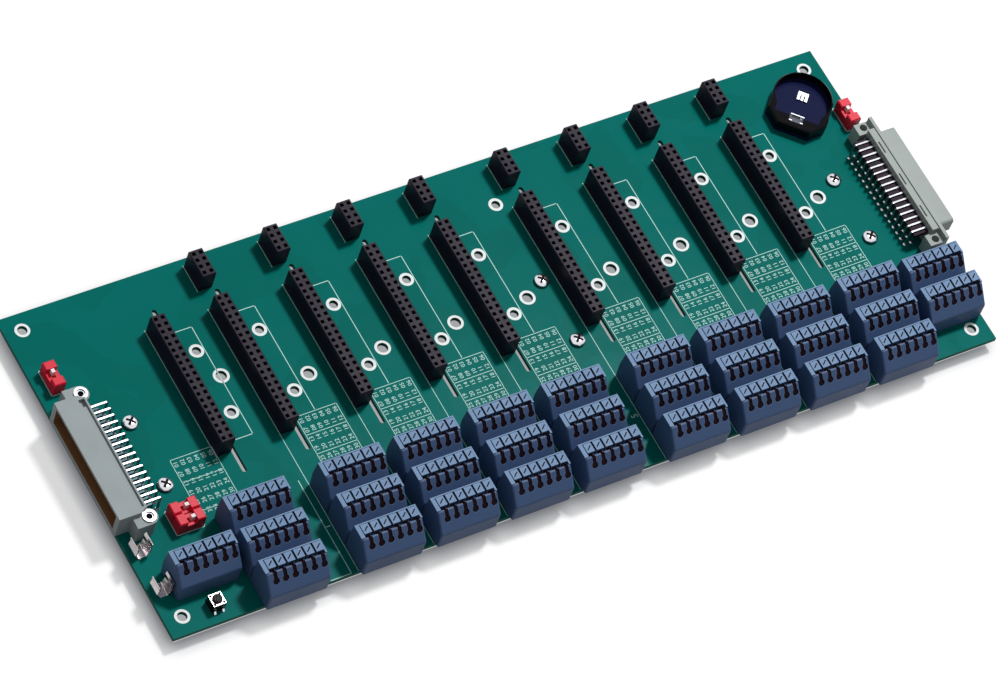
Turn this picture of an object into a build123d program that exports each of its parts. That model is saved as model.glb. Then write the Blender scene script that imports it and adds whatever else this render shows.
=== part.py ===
from build123d import *
from math import cos, hypot, radians, sin
import os

os.makedirs("parts", exist_ok=True)

# Frame: millimetres, X along the board's long side, Y to the rear, Z up.
# The origin is the centre of the corner-hole rectangle, on the board's upper face.

# Circuit board
BOARD_LENGTH = 317.5
BOARD_WIDTH = 127.0
BOARD_THICKNESS = 1.6
CORNER_HOLE_SPACING_X = 304.8
CORNER_HOLE_SPACING_Y = 114.3
CORNER_HOLE_DIAMETER = 3.3

# Card positions: one host slot, then eight numbered slots in two groups of four
SLOT_COUNT = 8
SLOT_PITCH = 27.94
MIDDLE_GAP = 33.02
FIRST_SLOT_X = -88.5
HOST_SLOT_X = -112.0

# Socket headers
PIN_PITCH = 2.54
HEADER_COLUMNS = 20
SMALL_HEADER_COLUMNS = 4
HEADER_WIDTH = 5.0
HEADER_HEIGHT = 8.5
HEADER_END_WALL = 0.2
HEADER_CHAMFER = 0.25
SOCKET_SIZE = 1.35
SOCKET_DEPTH = 6.0
HEADER_Y = 17.0
SMALL_HEADER_Y = 55.55

# Card slots milled through the board beside each header
CARD_SLOT_WIDTH = 1.7
CARD_SLOT_LENGTH = 66.0
CARD_SLOT_Y = 16.05
CARD_SLOT_GAP = 0.1

# Card fixing holes beside each slot
CARD_HOLE_DX = 9.65
CARD_HOLE_Y = 17.32
CARD_HOLE_SPACING = 25.0
CARD_HOLE_DIAMETER = 3.0
BIG_HOLE_DX = 17.1
BIG_HOLE_Y = 8.88
BIG_HOLE_DIAMETER = 3.7
HOST_BIG_HOLE_DX = 12.93
HOST_BIG_HOLE_Y = 18.42
SPARE_HOLE_X = 20.49
SPARE_HOLE_Y = 45.62

# Push-in terminal blocks
POLE_COUNT = 6
POLE_PITCH = 3.5
END_PLATE = 1.4
POCKET_END_WALL = 0.6
TERMINAL_HEIGHT = 13.4
NOSE_HEIGHT = 13.0
NOSE_DEPTH = 5.4
FACE_HEIGHT = 7.2
POCKET_FRONT = 6.0
CREST_DEPTH = 11.2
BACK_DEPTH = 11.9
BACK_KNEE_HEIGHT = 6.5
FOOT_DEPTH = 11.5
FOOT_RADIUS = 0.3
FACE_RADIUS = 1.6
NOSE_RADIUS = 0.9
END_EDGE_RADIUS = 0.7
POCKET_FLOOR = 11.6
REAR_WALL = 0.4
BUTTON_WIDTH = 2.7
BUTTON_DEPTH = 3.4
BUTTON_TOP_DROP = 0.05
BUTTON_REAR_GAP = 0.15
BUTTON_SLOT_LENGTH = 2.3
BUTTON_SLOT_WIDTH = 0.5
BUTTON_SLOT_DEPTH = 0.4
BUTTON_SLOT_TURN = 40
WIRE_HOLE_RADIUS = 1.2
WIRE_HOLE_RISE = 5.1
WIRE_HOLE_DEPTH = 5.0
KEY_SLOT_WIDTH = 1.5
KEY_SLOT_DEPTH = 2.6
ROW_COUNT = 3
ROW_PITCH = 12.5
TERMINAL_DX = -2.65
FRONT_OVERHANG = 1.7
AUX_TERMINAL_X = -126.2
POWER_TERMINAL_X = -151.5
POWER_TERMINAL_FRONT = -51.75
RIGHT_TERMINAL_X = 135.45
RIGHT_TERMINAL_FRONT = -53.9

# Edge connectors: a male one on the left edge, a female one on the right edge
EDGE_Y = 0.2
EDGE_COLUMNS = 16
CONTACT_SIZE = 0.6
CONTACT_CLEARANCE = 0.05
LOWER_CONTACT_Z = 4.5
UPPER_CONTACT_Z = 7.1
CONTACT_BEND_RADIUS = 0.8
CONTACT_TIP_BELOW = 1.0
CONTACT_HOLE_DIAMETER = 1.0
EAR_HOLE_SPACING = 48.9
EAR_HOLE_DIAMETER = 2.8

# Male connector
MALE_MOUTH_X = -159.3
MALE_DEPTH = 10.4
MALE_LENGTH = 46.6
MALE_HEIGHT = 10.0
MALE_CAVITY_LENGTH = 42.4
MALE_CAVITY_HEIGHT = 7.3
MALE_CAVITY_DEPTH = 7.3
MALE_FLOOR = 1.6
MALE_EAR_HEIGHT = 8.0
MALE_EAR_RADIUS = 2.9
MALE_EAR_REACH = 27.4
MALE_EAR_FRONT = 5.4
MALE_TAIL_X = -141.8
MALE_PIN_SETBACK = 4.4
VALLEY_WIDTH = 2.2
VALLEY_DEPTH = 0.8
RIDGE_WIDTH = 0.6
VALLEY_END_WALL = 1.8
VALLEY_POCKET_LENGTH = 2.6
VALLEY_POCKET_DEPTH = 1.6
RIVET_HEAD_RADIUS = 2.35
RIVET_HEAD_THICKNESS = 0.5
RIVET_BORE_RADIUS = 1.05
RIVET_MOUTH_RADIUS = 1.5
RIVET_CLEARANCE = 0.05
RIVET_FOOT_RADIUS = 2.0
RIVET_FOOT_THICKNESS = 0.5

# Female connector
FEMALE_OUTER_X = 164.9
FEMALE_FLANGE_X = 159.1
FLANGE_THICKNESS = 1.2
FLANGE_LENGTH = 53.0
FEMALE_HEIGHT = 9.5
FEMALE_BODY_BACK_X = 155.0
FEMALE_BODY_LENGTH = 44.0
MATING_LENGTH = 41.4
MATING_HEIGHT = 6.9
MATING_FLOOR = 1.8
MATING_EDGE_RADIUS = 1.2
FEMALE_EAR_BACK_X = 152.3
FEMALE_EAR_HEIGHT = 7.3
FEMALE_EAR_HOLE_X = 155.3
FEMALE_TAIL_X = 148.5
FEMALE_SOCKET_DEPTH = 4.0
FEMALE_SOCKET_SIZE = 1.0
BODY_GROOVE_WIDTH = 0.5
BODY_GROOVE_DEPTH = 0.8
LATCH_SLOT_LENGTH = 4.9
LATCH_SLOT_WIDTH = 0.6
LATCH_SLOT_DEPTH = 1.5
LATCH_SLOT_PITCH = 14.0
LATCH_SLOT_INSET = 0.9
LATCH_SLOT_COUNT = 3
COMB_BACK_X = 149.3
COMB_LENGTH = 41.0
COMB_THICKNESS = 1.4
COMB_GROOVE_WIDTH = 0.9
COMB_GROOVE_DEPTH = 0.3
COMB_GAP = 0.1

# Single-way slide switches, each with its own slider
SWITCH_WIDTH = 4.2
SWITCH_LENGTH = 9.5
SWITCH_HEIGHT = 5.6
SWITCH_CHANNEL_LENGTH = 3.6
SWITCH_CHANNEL_DEPTH = 2.0
SWITCH_EDGE = 0.35
SLIDER_TRACK_WIDTH = 1.4
SLIDER_TRACK_LENGTH = 3.4
SLIDER_TRACK_DEPTH = 1.0
SLIDER_CLEARANCE = 0.1
SLIDER_LENGTH = 1.4
SLIDER_RISE = 1.9
SLIDER_OFFSET = 0.9
SWITCH_1_X = -152.2
SWITCH_1_Y = 36.1
SWITCH_2_X = -135.3
SWITCH_2_Y = -23.3
SWITCH_3_Y = -27.9
SWITCH_4_X = 155.8
SWITCH_4_Y = 34.1

# Coin-cell holder, turned so that its side contact faces the front left
CELL_X = 143.1
CELL_Y = 44.6
CELL_TURN = 225.0
CELL_DIAMETER = 20.0
CELL_CLEARANCE = 0.1
CELL_WALL = 0.6
HOLDER_HEIGHT = 5.0
HOLDER_FLOOR = 1.2
HOLDER_FRONT = 13.9
HOLDER_FRONT_WIDTH = 12.0
HOLDER_SIDE_END = 8.6
HOLDER_EDGE = 0.4
RECESS_FRONT = 9.4
RECESS_FRONT_WIDTH = 16.4
SIDE_CONTACT_WIDTH = 4.9
SIDE_CONTACT_INNER = 8.6
SIDE_CONTACT_OUTER = 11.7
SIDE_CONTACT_FOOT = 2.2
SIDE_CONTACT_WINDOW = 2.9
NOTCH_CLEARANCE = 0.15
STRIP_THICKNESS = 0.3
BASE_PAD_SIZE = 3.7
BASE_PAD_CENTRE = -2.6
BASE_SLIT_LENGTH = 2.3
BASE_SLIT_WIDTH = 0.45
BASE_SLIT_PITCH = 1.35

# Pair of spring clips for a 5 x 20 mm cartridge fuse
CLIP_X = -154.7
CLIP_Y = -31.0
CLIP_SPACING = 15.2
CLIP_WIDTH = 5.0
CLIP_THICKNESS = 0.4
CLIP_BASE_HALF = 1.6
CLIP_BELLY_HALF = 2.75
CLIP_BELLY_HEIGHT = 2.9
CLIP_THROAT_HALF = 2.3
CLIP_THROAT_HEIGHT = 5.4
CLIP_LIP_HALF = 2.7
CLIP_HEIGHT = 6.6
CLIP_BEND = 0.5

# Push switch
KEY_X = -140.8
KEY_Y = -57.5
KEY_SIZE = 4.5
KEY_BODY_HEIGHT = 3.8
KEY_COVER_THICKNESS = 0.3
KEY_COVER_HOLE_RADIUS = 1.75
KEY_STUD_RADIUS = 0.42
KEY_STUD_HOLE_RADIUS = 0.45
KEY_STUD_SPACING = 3.3
KEY_STUD_PROUD = 0.1
KEY_WELL_RADIUS = 1.7
KEY_WELL_DEPTH = 1.3
BUTTON_RADIUS = 1.55
BUTTON_PROUD = 0.9
BUTTON_TRAVEL = 0.25
BUTTON_STOP_CLEARANCE = 0.1
BUTTON_EDGE = 0.15
KEY_LEG_WIDTH = 0.7
KEY_LEG_SPACING = 3.0
KEY_LEG_HEIGHT = 2.2
KEY_LEG_REACH = 0.7
KEY_LEG_THICKNESS = 0.25

# Rail clips under the board and the screws that hold them
CLIP_SCREW_X = (-135.47, 20.05, 137.93)
CLIP_SCREW_Y = 0.3
CLIP_SCREW_SPACING = 25.0
CLIP_SCREW_RADIUS = 1.4
CLIP_SCREW_HOLE_RADIUS = 1.6
CLIP_THREAD_CLEARANCE = 0.05
SCREW_HEAD_RADIUS = 2.7
SCREW_HEAD_HEIGHT = 1.9
SCREW_HEAD_RIM = 0.7
SCREW_CROSS_LENGTH = 3.4
SCREW_CROSS_WIDTH = 0.85
SCREW_CROSS_DEPTH = 1.2
SCREW_CROSS_TURNS = (45, -45)
SCREW_TIP = 0.6
RAIL_WIDTH = 35.0
RAIL_LIP = 1.0
RAIL_CLEARANCE = 0.3
RAIL_CLIP_WIDTH = 10.0
RAIL_CLIP_THICKNESS = 1.4
RAIL_HOOK_LIP = 1.6
RAIL_HOOK_EDGE = 0.3

# Values worked out from the ones above
header_length = HEADER_COLUMNS * PIN_PITCH + 2 * HEADER_END_WALL
small_header_length = SMALL_HEADER_COLUMNS * PIN_PITCH + 2 * HEADER_END_WALL
terminal_length = END_PLATE + POLE_COUNT * POLE_PITCH
front_row_y = -BOARD_WIDTH / 2 - FRONT_OVERHANG
group_size = SLOT_COUNT // 2
slot_x = []
for slot in range(SLOT_COUNT):
    extra = MIDDLE_GAP - SLOT_PITCH if slot >= group_size else 0.0
    slot_x.append(FIRST_SLOT_X + slot * SLOT_PITCH + extra)
header_x = [HOST_SLOT_X] + slot_x
card_slot_dx = HEADER_WIDTH / 2 + CARD_SLOT_GAP + CARD_SLOT_WIDTH / 2
row_fronts = [front_row_y + row * ROW_PITCH for row in range(ROW_COUNT)]
contact_pitch = PIN_PITCH
contact_span = (EDGE_COLUMNS - 1) * contact_pitch
contact_y = [EDGE_Y - contact_span / 2 + column * contact_pitch for column in range(EDGE_COLUMNS)]
contact_bottom = -BOARD_THICKNESS - CONTACT_TIP_BELOW
ear_y = (EDGE_Y - EAR_HOLE_SPACING / 2, EDGE_Y + EAR_HOLE_SPACING / 2)
male_back_x = MALE_MOUTH_X + MALE_DEPTH
male_ear_x = male_back_x
lower_male_tail_x = MALE_TAIL_X - PIN_PITCH
lower_female_tail_x = FEMALE_TAIL_X + PIN_PITCH
contact_slot = CONTACT_SIZE + 2 * CONTACT_CLEARANCE
clip_top = -BOARD_THICKNESS
clip_plate_bottom = clip_top - RAIL_CLIP_THICKNESS
clip_lip_top = clip_plate_bottom - RAIL_LIP - RAIL_CLEARANCE
clip_bottom = clip_lip_top - RAIL_CLIP_THICKNESS
clip_inner_half = RAIL_WIDTH / 2 + RAIL_CLEARANCE
clip_outer_half = clip_inner_half + RAIL_CLIP_THICKNESS
clip_holes = [(x, CLIP_SCREW_Y + side * CLIP_SCREW_SPACING / 2) for x in CLIP_SCREW_X for side in (-1, 1)]

# Circuit board with every hole and card slot
card_holes = [
    (x + CARD_HOLE_DX, CARD_HOLE_Y + side * CARD_HOLE_SPACING / 2) for x in header_x for side in (-1, 1)
]
big_holes = [(x + BIG_HOLE_DX, BIG_HOLE_Y) for x in slot_x]
big_holes.append((HOST_SLOT_X + HOST_BIG_HOLE_DX, HOST_BIG_HOLE_Y))
tail_columns = (lower_male_tail_x, MALE_TAIL_X, FEMALE_TAIL_X, lower_female_tail_x)
contact_holes = [(x, y) for x in tail_columns for y in contact_y]
ear_holes = [(x, y) for x in (male_ear_x, FEMALE_EAR_HOLE_X) for y in ear_y]

with BuildPart() as circuit_board:
    with BuildSketch(Plane.XY.offset(-BOARD_THICKNESS)):
        Rectangle(BOARD_LENGTH, BOARD_WIDTH)
        with GridLocations(CORNER_HOLE_SPACING_X, CORNER_HOLE_SPACING_Y, 2, 2):
            Circle(CORNER_HOLE_DIAMETER / 2, mode=Mode.SUBTRACT)
        with Locations(*[(x + card_slot_dx, CARD_SLOT_Y) for x in header_x]):
            SlotOverall(CARD_SLOT_LENGTH, CARD_SLOT_WIDTH, rotation=90, mode=Mode.SUBTRACT)
        with Locations(*card_holes, (SPARE_HOLE_X, SPARE_HOLE_Y)):
            Circle(CARD_HOLE_DIAMETER / 2, mode=Mode.SUBTRACT)
        with Locations(*big_holes):
            Circle(BIG_HOLE_DIAMETER / 2, mode=Mode.SUBTRACT)
        with Locations(*clip_holes):
            Circle(CLIP_SCREW_HOLE_RADIUS, mode=Mode.SUBTRACT)
        with Locations(*contact_holes):
            Circle(CONTACT_HOLE_DIAMETER / 2, mode=Mode.SUBTRACT)
        with Locations(*ear_holes):
            Circle(EAR_HOLE_DIAMETER / 2, mode=Mode.SUBTRACT)
    extrude(amount=BOARD_THICKNESS)
circuit_board.part.label = "circuit_board"
export_step(circuit_board.part, "parts/circuit_board.step")


# Two-row socket headers: a plain base, then the part that the sockets run through
def socket_header(x, y, columns, length):
    with BuildPart() as header:
        with BuildSketch():
            with Locations((x, y)):
                Rectangle(HEADER_WIDTH, length)
        extrude(amount=HEADER_HEIGHT - SOCKET_DEPTH)
        with BuildSketch(Plane.XY.offset(HEADER_HEIGHT - SOCKET_DEPTH)):
            with Locations((x, y)):
                Rectangle(HEADER_WIDTH, length)
                with GridLocations(PIN_PITCH, PIN_PITCH, 2, columns):
                    Rectangle(SOCKET_SIZE, SOCKET_SIZE, mode=Mode.SUBTRACT)
        extrude(amount=SOCKET_DEPTH)
        top = header.faces().sort_by(Axis.Z)[-1]
        chamfer(top.outer_wire().edges(), length=HEADER_CHAMFER)
    return header


header_names = ["host_header"] + [f"slot_{slot + 1}_header" for slot in range(SLOT_COUNT)]
for name, x in zip(header_names, header_x):
    header = socket_header(x, HEADER_Y, HEADER_COLUMNS, header_length)
    header.part.label = name
    export_step(header.part, f"parts/{name}.step")

for slot, x in enumerate(slot_x):
    name = f"slot_{slot + 1}_small_header"
    header = socket_header(x, SMALL_HEADER_Y, SMALL_HEADER_COLUMNS, small_header_length)
    header.part.label = name
    export_step(header.part, f"parts/{name}.step")

# One push-in terminal block, its left front foot at the origin.
# Its push buttons are one piece with the block.
slope_rise = NOSE_HEIGHT - FACE_HEIGHT
slope_length = hypot(NOSE_DEPTH, slope_rise)
slope_plane = Plane(origin=(0, 0, FACE_HEIGHT), x_dir=(1, 0, 0), z_dir=(0, -slope_rise, NOSE_DEPTH))
pole_x = [END_PLATE + (pole + 0.5) * POLE_PITCH for pole in range(POLE_COUNT)]
pocket_rear = CREST_DEPTH - REAR_WALL
pocket_length = terminal_length - END_PLATE - POCKET_END_WALL
pocket_depth = pocket_rear - POCKET_FRONT
key_slot_length = slope_length - WIRE_HOLE_RISE + NOSE_RADIUS

with BuildPart() as terminal_block:
    with BuildSketch(Plane.YZ) as terminal_profile:
        with BuildLine():
            nose = FilletPolyline(
                (FOOT_DEPTH, 0),
                (0, 0),
                (0, FACE_HEIGHT),
                (NOSE_DEPTH, NOSE_HEIGHT),
                (POCKET_FRONT, NOSE_HEIGHT),
                radius=[FOOT_RADIUS, FACE_RADIUS, NOSE_RADIUS / 2],
            )
            Polyline(
                nose @ 1,
                (POCKET_FRONT, TERMINAL_HEIGHT),
                (CREST_DEPTH, TERMINAL_HEIGHT),
                (BACK_DEPTH, BACK_KNEE_HEIGHT),
                (FOOT_DEPTH, 0),
            )
        make_face()
    extrude(amount=terminal_length)
    front_edges = terminal_block.edges().filter_by(Axis.Z).group_by(Axis.Y)[0]
    fillet(front_edges, radius=END_EDGE_RADIUS)
    with BuildSketch(Plane.XY.offset(POCKET_FLOOR)):
        with Locations((END_PLATE + pocket_length / 2, POCKET_FRONT + pocket_depth / 2)):
            Rectangle(pocket_length, pocket_depth)
    extrude(amount=TERMINAL_HEIGHT, mode=Mode.SUBTRACT)
    with BuildSketch(Plane.XY.offset(POCKET_FLOOR)):
        with Locations(*[(x, pocket_rear - BUTTON_REAR_GAP - BUTTON_DEPTH / 2) for x in pole_x]):
            Rectangle(BUTTON_WIDTH, BUTTON_DEPTH)
    extrude(amount=TERMINAL_HEIGHT - POCKET_FLOOR - BUTTON_TOP_DROP)
    with BuildSketch(Plane.XY.offset(TERMINAL_HEIGHT)):
        with Locations(*[(x, pocket_rear - BUTTON_REAR_GAP - BUTTON_DEPTH / 2) for x in pole_x]):
            SlotOverall(BUTTON_SLOT_LENGTH, BUTTON_SLOT_WIDTH, rotation=BUTTON_SLOT_TURN)
    extrude(amount=-BUTTON_SLOT_DEPTH, mode=Mode.SUBTRACT)
    with BuildSketch(slope_plane):
        with Locations(*[(x, WIRE_HOLE_RISE) for x in pole_x]):
            Circle(WIRE_HOLE_RADIUS)
    extrude(amount=-WIRE_HOLE_DEPTH, mode=Mode.SUBTRACT)
    with BuildSketch(slope_plane):
        with Locations(*[(x, WIRE_HOLE_RISE + key_slot_length / 2) for x in pole_x]):
            Rectangle(KEY_SLOT_WIDTH, key_slot_length)
    extrude(amount=-KEY_SLOT_DEPTH, mode=Mode.SUBTRACT)

terminal_columns = {
    "power_terminal": [(POWER_TERMINAL_X, POWER_TERMINAL_FRONT)],
    "aux_terminals": [(AUX_TERMINAL_X, front) for front in row_fronts],
    "right_terminals": [
        (RIGHT_TERMINAL_X, RIGHT_TERMINAL_FRONT),
        (RIGHT_TERMINAL_X, RIGHT_TERMINAL_FRONT + ROW_PITCH),
    ],
}
for slot, x in enumerate(slot_x):
    terminal_columns[f"slot_{slot + 1}_terminals"] = [(x + TERMINAL_DX, front) for front in row_fronts]

for name, places in terminal_columns.items():
    with BuildPart() as terminals:
        with Locations(*places):
            add(terminal_block.part)
    terminals.part.label = name
    export_step(terminals.part, f"parts/{name}.step")


# Bent contacts: a straight pin through the housing, then a tail down through the board
def bent_contacts(tip_x, tails):
    with BuildPart() as contacts:
        for tail_x, pin_z in tails:
            side = 1 if tail_x > tip_x else -1
            pin_length = abs(tail_x - tip_x) + CONTACT_SIZE / 2
            leg_length = pin_z + CONTACT_SIZE / 2 - contact_bottom
            with BuildSketch(*[Plane.XZ.offset(-y) for y in contact_y]) as bent:
                with Locations((tip_x + side * pin_length / 2, pin_z)):
                    Rectangle(pin_length, CONTACT_SIZE)
                with Locations((tail_x, contact_bottom + leg_length / 2)):
                    Rectangle(CONTACT_SIZE, leg_length)
                corner = bent.vertices().group_by(Axis.Y)[-1].sort_by(Axis.X)
                fillet(corner[-1] if side > 0 else corner[0], radius=CONTACT_BEND_RADIUS)
            extrude(amount=CONTACT_SIZE / 2, both=True)
    return contacts


male_tails = [(MALE_TAIL_X, UPPER_CONTACT_Z), (lower_male_tail_x, LOWER_CONTACT_Z)]
left_contacts = bent_contacts(MALE_MOUTH_X + MALE_PIN_SETBACK, male_tails)
left_contacts.part.label = "left_contacts"
export_step(left_contacts.part, "parts/left_contacts.step")

female_tip_x = FEMALE_OUTER_X - FEMALE_SOCKET_DEPTH
female_tails = [(FEMALE_TAIL_X, UPPER_CONTACT_Z), (lower_female_tail_x, LOWER_CONTACT_Z)]
right_contacts = bent_contacts(female_tip_x, female_tails)
right_contacts.part.label = "right_contacts"
export_step(right_contacts.part, "parts/right_contacts.step")

# Male edge connector: a shroud open to the left, with an ear at each end
male_mid_x = MALE_MOUTH_X + MALE_DEPTH / 2
contact_mid_z = (LOWER_CONTACT_Z + UPPER_CONTACT_Z) / 2
contact_row_gap = UPPER_CONTACT_Z - LOWER_CONTACT_Z
ear_width = MALE_EAR_REACH - MALE_LENGTH / 2
valley_x = male_back_x - RIDGE_WIDTH - VALLEY_WIDTH / 2
valley_length = MALE_LENGTH - 2 * VALLEY_END_WALL
valley_rear_y = EDGE_Y + valley_length / 2
ear_block_x = male_ear_x - MALE_EAR_FRONT / 2

with BuildPart() as left_housing:
    with BuildSketch():
        with Locations((male_mid_x, EDGE_Y)):
            Rectangle(MALE_DEPTH, MALE_LENGTH)
    extrude(amount=MALE_HEIGHT)
    with BuildSketch():
        for side in (-1, 1):
            with Locations((ear_block_x, EDGE_Y + side * (MALE_LENGTH / 2 + ear_width / 2))):
                Rectangle(MALE_EAR_FRONT, ear_width)
        with Locations(*[(male_ear_x, y) for y in ear_y]):
            Circle(MALE_EAR_RADIUS)
    extrude(amount=MALE_EAR_HEIGHT)
    with BuildSketch(Plane.YZ.offset(MALE_MOUTH_X)):
        with Locations((EDGE_Y, MALE_FLOOR + MALE_CAVITY_HEIGHT / 2)):
            Rectangle(MALE_CAVITY_LENGTH, MALE_CAVITY_HEIGHT)
    extrude(amount=MALE_CAVITY_DEPTH, mode=Mode.SUBTRACT)
    with BuildSketch(Plane.YZ.offset(MALE_MOUTH_X + MALE_CAVITY_DEPTH)):
        with Locations((EDGE_Y, contact_mid_z)):
            with GridLocations(contact_pitch, contact_row_gap, EDGE_COLUMNS, 2):
                Rectangle(contact_slot, contact_slot)
    extrude(amount=MALE_DEPTH, mode=Mode.SUBTRACT)
    with BuildSketch(Plane.XY.offset(MALE_HEIGHT)):
        with Locations((valley_x, EDGE_Y)):
            Rectangle(VALLEY_WIDTH, valley_length)
    extrude(amount=-VALLEY_DEPTH, mode=Mode.SUBTRACT)
    with BuildSketch(Plane.XY.offset(MALE_HEIGHT)):
        with Locations((valley_x, valley_rear_y - VALLEY_POCKET_LENGTH / 2)):
            Rectangle(VALLEY_WIDTH, VALLEY_POCKET_LENGTH)
    extrude(amount=-VALLEY_POCKET_DEPTH, mode=Mode.SUBTRACT)
    with BuildSketch(Plane.XY.offset(MALE_EAR_HEIGHT)):
        with Locations(*[(male_ear_x, y) for y in ear_y]):
            Circle(RIVET_HEAD_RADIUS + RIVET_CLEARANCE)
    extrude(amount=MALE_HEIGHT, mode=Mode.SUBTRACT)
    with BuildSketch():
        with Locations(*[(male_ear_x, y) for y in ear_y]):
            Circle(EAR_HOLE_DIAMETER / 2)
    extrude(amount=MALE_HEIGHT, mode=Mode.SUBTRACT)
left_housing.part.label = "left_housing"
export_step(left_housing.part, "parts/left_housing.step")

# Hollow rivets through the ears of the male connector
rivet_radius = EAR_HOLE_DIAMETER / 2 - RIVET_CLEARANCE
rivet_foot = -BOARD_THICKNESS - RIVET_FOOT_THICKNESS

with BuildPart() as left_rivets:
    with BuildSketch(Plane.XY.offset(rivet_foot)):
        with Locations(*[(male_ear_x, y) for y in ear_y]):
            Circle(RIVET_FOOT_RADIUS)
            Circle(RIVET_BORE_RADIUS, mode=Mode.SUBTRACT)
    extrude(amount=RIVET_FOOT_THICKNESS)
    with BuildSketch(Plane.XY.offset(-BOARD_THICKNESS)):
        with Locations(*[(male_ear_x, y) for y in ear_y]):
            Circle(rivet_radius)
            Circle(RIVET_BORE_RADIUS, mode=Mode.SUBTRACT)
    extrude(amount=BOARD_THICKNESS + MALE_EAR_HEIGHT)
    with BuildSketch(Plane.XY.offset(MALE_EAR_HEIGHT)):
        with Locations(*[(male_ear_x, y) for y in ear_y]):
            Circle(RIVET_HEAD_RADIUS)
            Circle(RIVET_MOUTH_RADIUS, mode=Mode.SUBTRACT)
    extrude(amount=RIVET_HEAD_THICKNESS)
left_rivets.part.label = "left_rivets"
export_step(left_rivets.part, "parts/left_rivets.step")

# Female edge connector: mating block, flange, body and ears
flange_back_x = FEMALE_FLANGE_X - FLANGE_THICKNESS
body_depth = flange_back_x - FEMALE_BODY_BACK_X
body_mid_x = FEMALE_BODY_BACK_X + body_depth / 2
ear_depth = flange_back_x - FEMALE_EAR_BACK_X
ear_length = (FLANGE_LENGTH - FEMALE_BODY_LENGTH) / 2
ear_mid = FEMALE_BODY_LENGTH / 2 + ear_length / 2
mating_depth = FEMALE_OUTER_X - FEMALE_FLANGE_X
comb_depth = FEMALE_BODY_BACK_X - COMB_BACK_X
comb_top = UPPER_CONTACT_Z - CONTACT_SIZE / 2 - COMB_GAP
groove_x = flange_back_x - BODY_GROOVE_WIDTH / 2

with BuildPart() as right_housing:
    with BuildSketch():
        with Locations((body_mid_x, EDGE_Y)):
            Rectangle(body_depth, FEMALE_BODY_LENGTH)
        with Locations((FEMALE_FLANGE_X - FLANGE_THICKNESS / 2, EDGE_Y)):
            Rectangle(FLANGE_THICKNESS, FLANGE_LENGTH)
    extrude(amount=FEMALE_HEIGHT)
    with BuildSketch():
        with Locations(*[(FEMALE_EAR_BACK_X + ear_depth / 2, EDGE_Y + side * ear_mid) for side in (-1, 1)]):
            Rectangle(ear_depth, ear_length)
    extrude(amount=FEMALE_EAR_HEIGHT)
    with BuildSketch(Plane.YZ.offset(FEMALE_FLANGE_X)):
        with Locations((EDGE_Y, MATING_FLOOR + MATING_HEIGHT / 2)):
            RectangleRounded(MATING_LENGTH, MATING_HEIGHT, MATING_EDGE_RADIUS)
    extrude(amount=mating_depth)
    with BuildSketch(Plane.YZ.offset(FEMALE_BODY_BACK_X)):
        with Locations((EDGE_Y, contact_mid_z)):
            with GridLocations(contact_pitch, contact_row_gap, EDGE_COLUMNS, 2):
                Rectangle(contact_slot, contact_slot)
    extrude(amount=female_tip_x - FEMALE_BODY_BACK_X + CONTACT_CLEARANCE, mode=Mode.SUBTRACT)
    with BuildSketch(Plane.YZ.offset(female_tip_x)):
        with Locations((EDGE_Y, contact_mid_z)):
            with GridLocations(contact_pitch, contact_row_gap, EDGE_COLUMNS, 2):
                Rectangle(FEMALE_SOCKET_SIZE, FEMALE_SOCKET_SIZE)
    extrude(amount=FEMALE_SOCKET_DEPTH, mode=Mode.SUBTRACT)
    with BuildSketch(Plane.XY.offset(FEMALE_HEIGHT)):
        with Locations((groove_x, EDGE_Y)):
            Rectangle(BODY_GROOVE_WIDTH, FEMALE_BODY_LENGTH)
    extrude(amount=-BODY_GROOVE_DEPTH, mode=Mode.SUBTRACT)
    with BuildSketch(Plane.XY.offset(FEMALE_HEIGHT)):
        with Locations((FEMALE_BODY_BACK_X + LATCH_SLOT_INSET, EDGE_Y)):
            with GridLocations(1, LATCH_SLOT_PITCH, 1, LATCH_SLOT_COUNT):
                Rectangle(LATCH_SLOT_WIDTH, LATCH_SLOT_LENGTH)
    extrude(amount=-LATCH_SLOT_DEPTH, mode=Mode.SUBTRACT)
    with BuildSketch():
        with Locations(*[(FEMALE_EAR_HOLE_X, y) for y in ear_y]):
            Circle(EAR_HOLE_DIAMETER / 2)
    extrude(amount=FEMALE_HEIGHT, mode=Mode.SUBTRACT)
right_housing.part.label = "right_housing"
export_step(right_housing.part, "parts/right_housing.step")

# Comb behind the female connector, with a groove for each upper contact
with BuildPart() as right_comb:
    with BuildSketch(Plane.XY.offset(comb_top)):
        with Locations((COMB_BACK_X + comb_depth / 2, EDGE_Y)):
            Rectangle(comb_depth, COMB_LENGTH)
    extrude(amount=-COMB_THICKNESS)
    with BuildSketch(Plane.XY.offset(comb_top)):
        for y in contact_y:
            with Locations((COMB_BACK_X + comb_depth / 2, y)):
                Rectangle(comb_depth, COMB_GROOVE_WIDTH)
    extrude(amount=-COMB_GROOVE_DEPTH, mode=Mode.SUBTRACT)
right_comb.part.label = "right_comb"
export_step(right_comb.part, "parts/right_comb.step")

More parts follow.
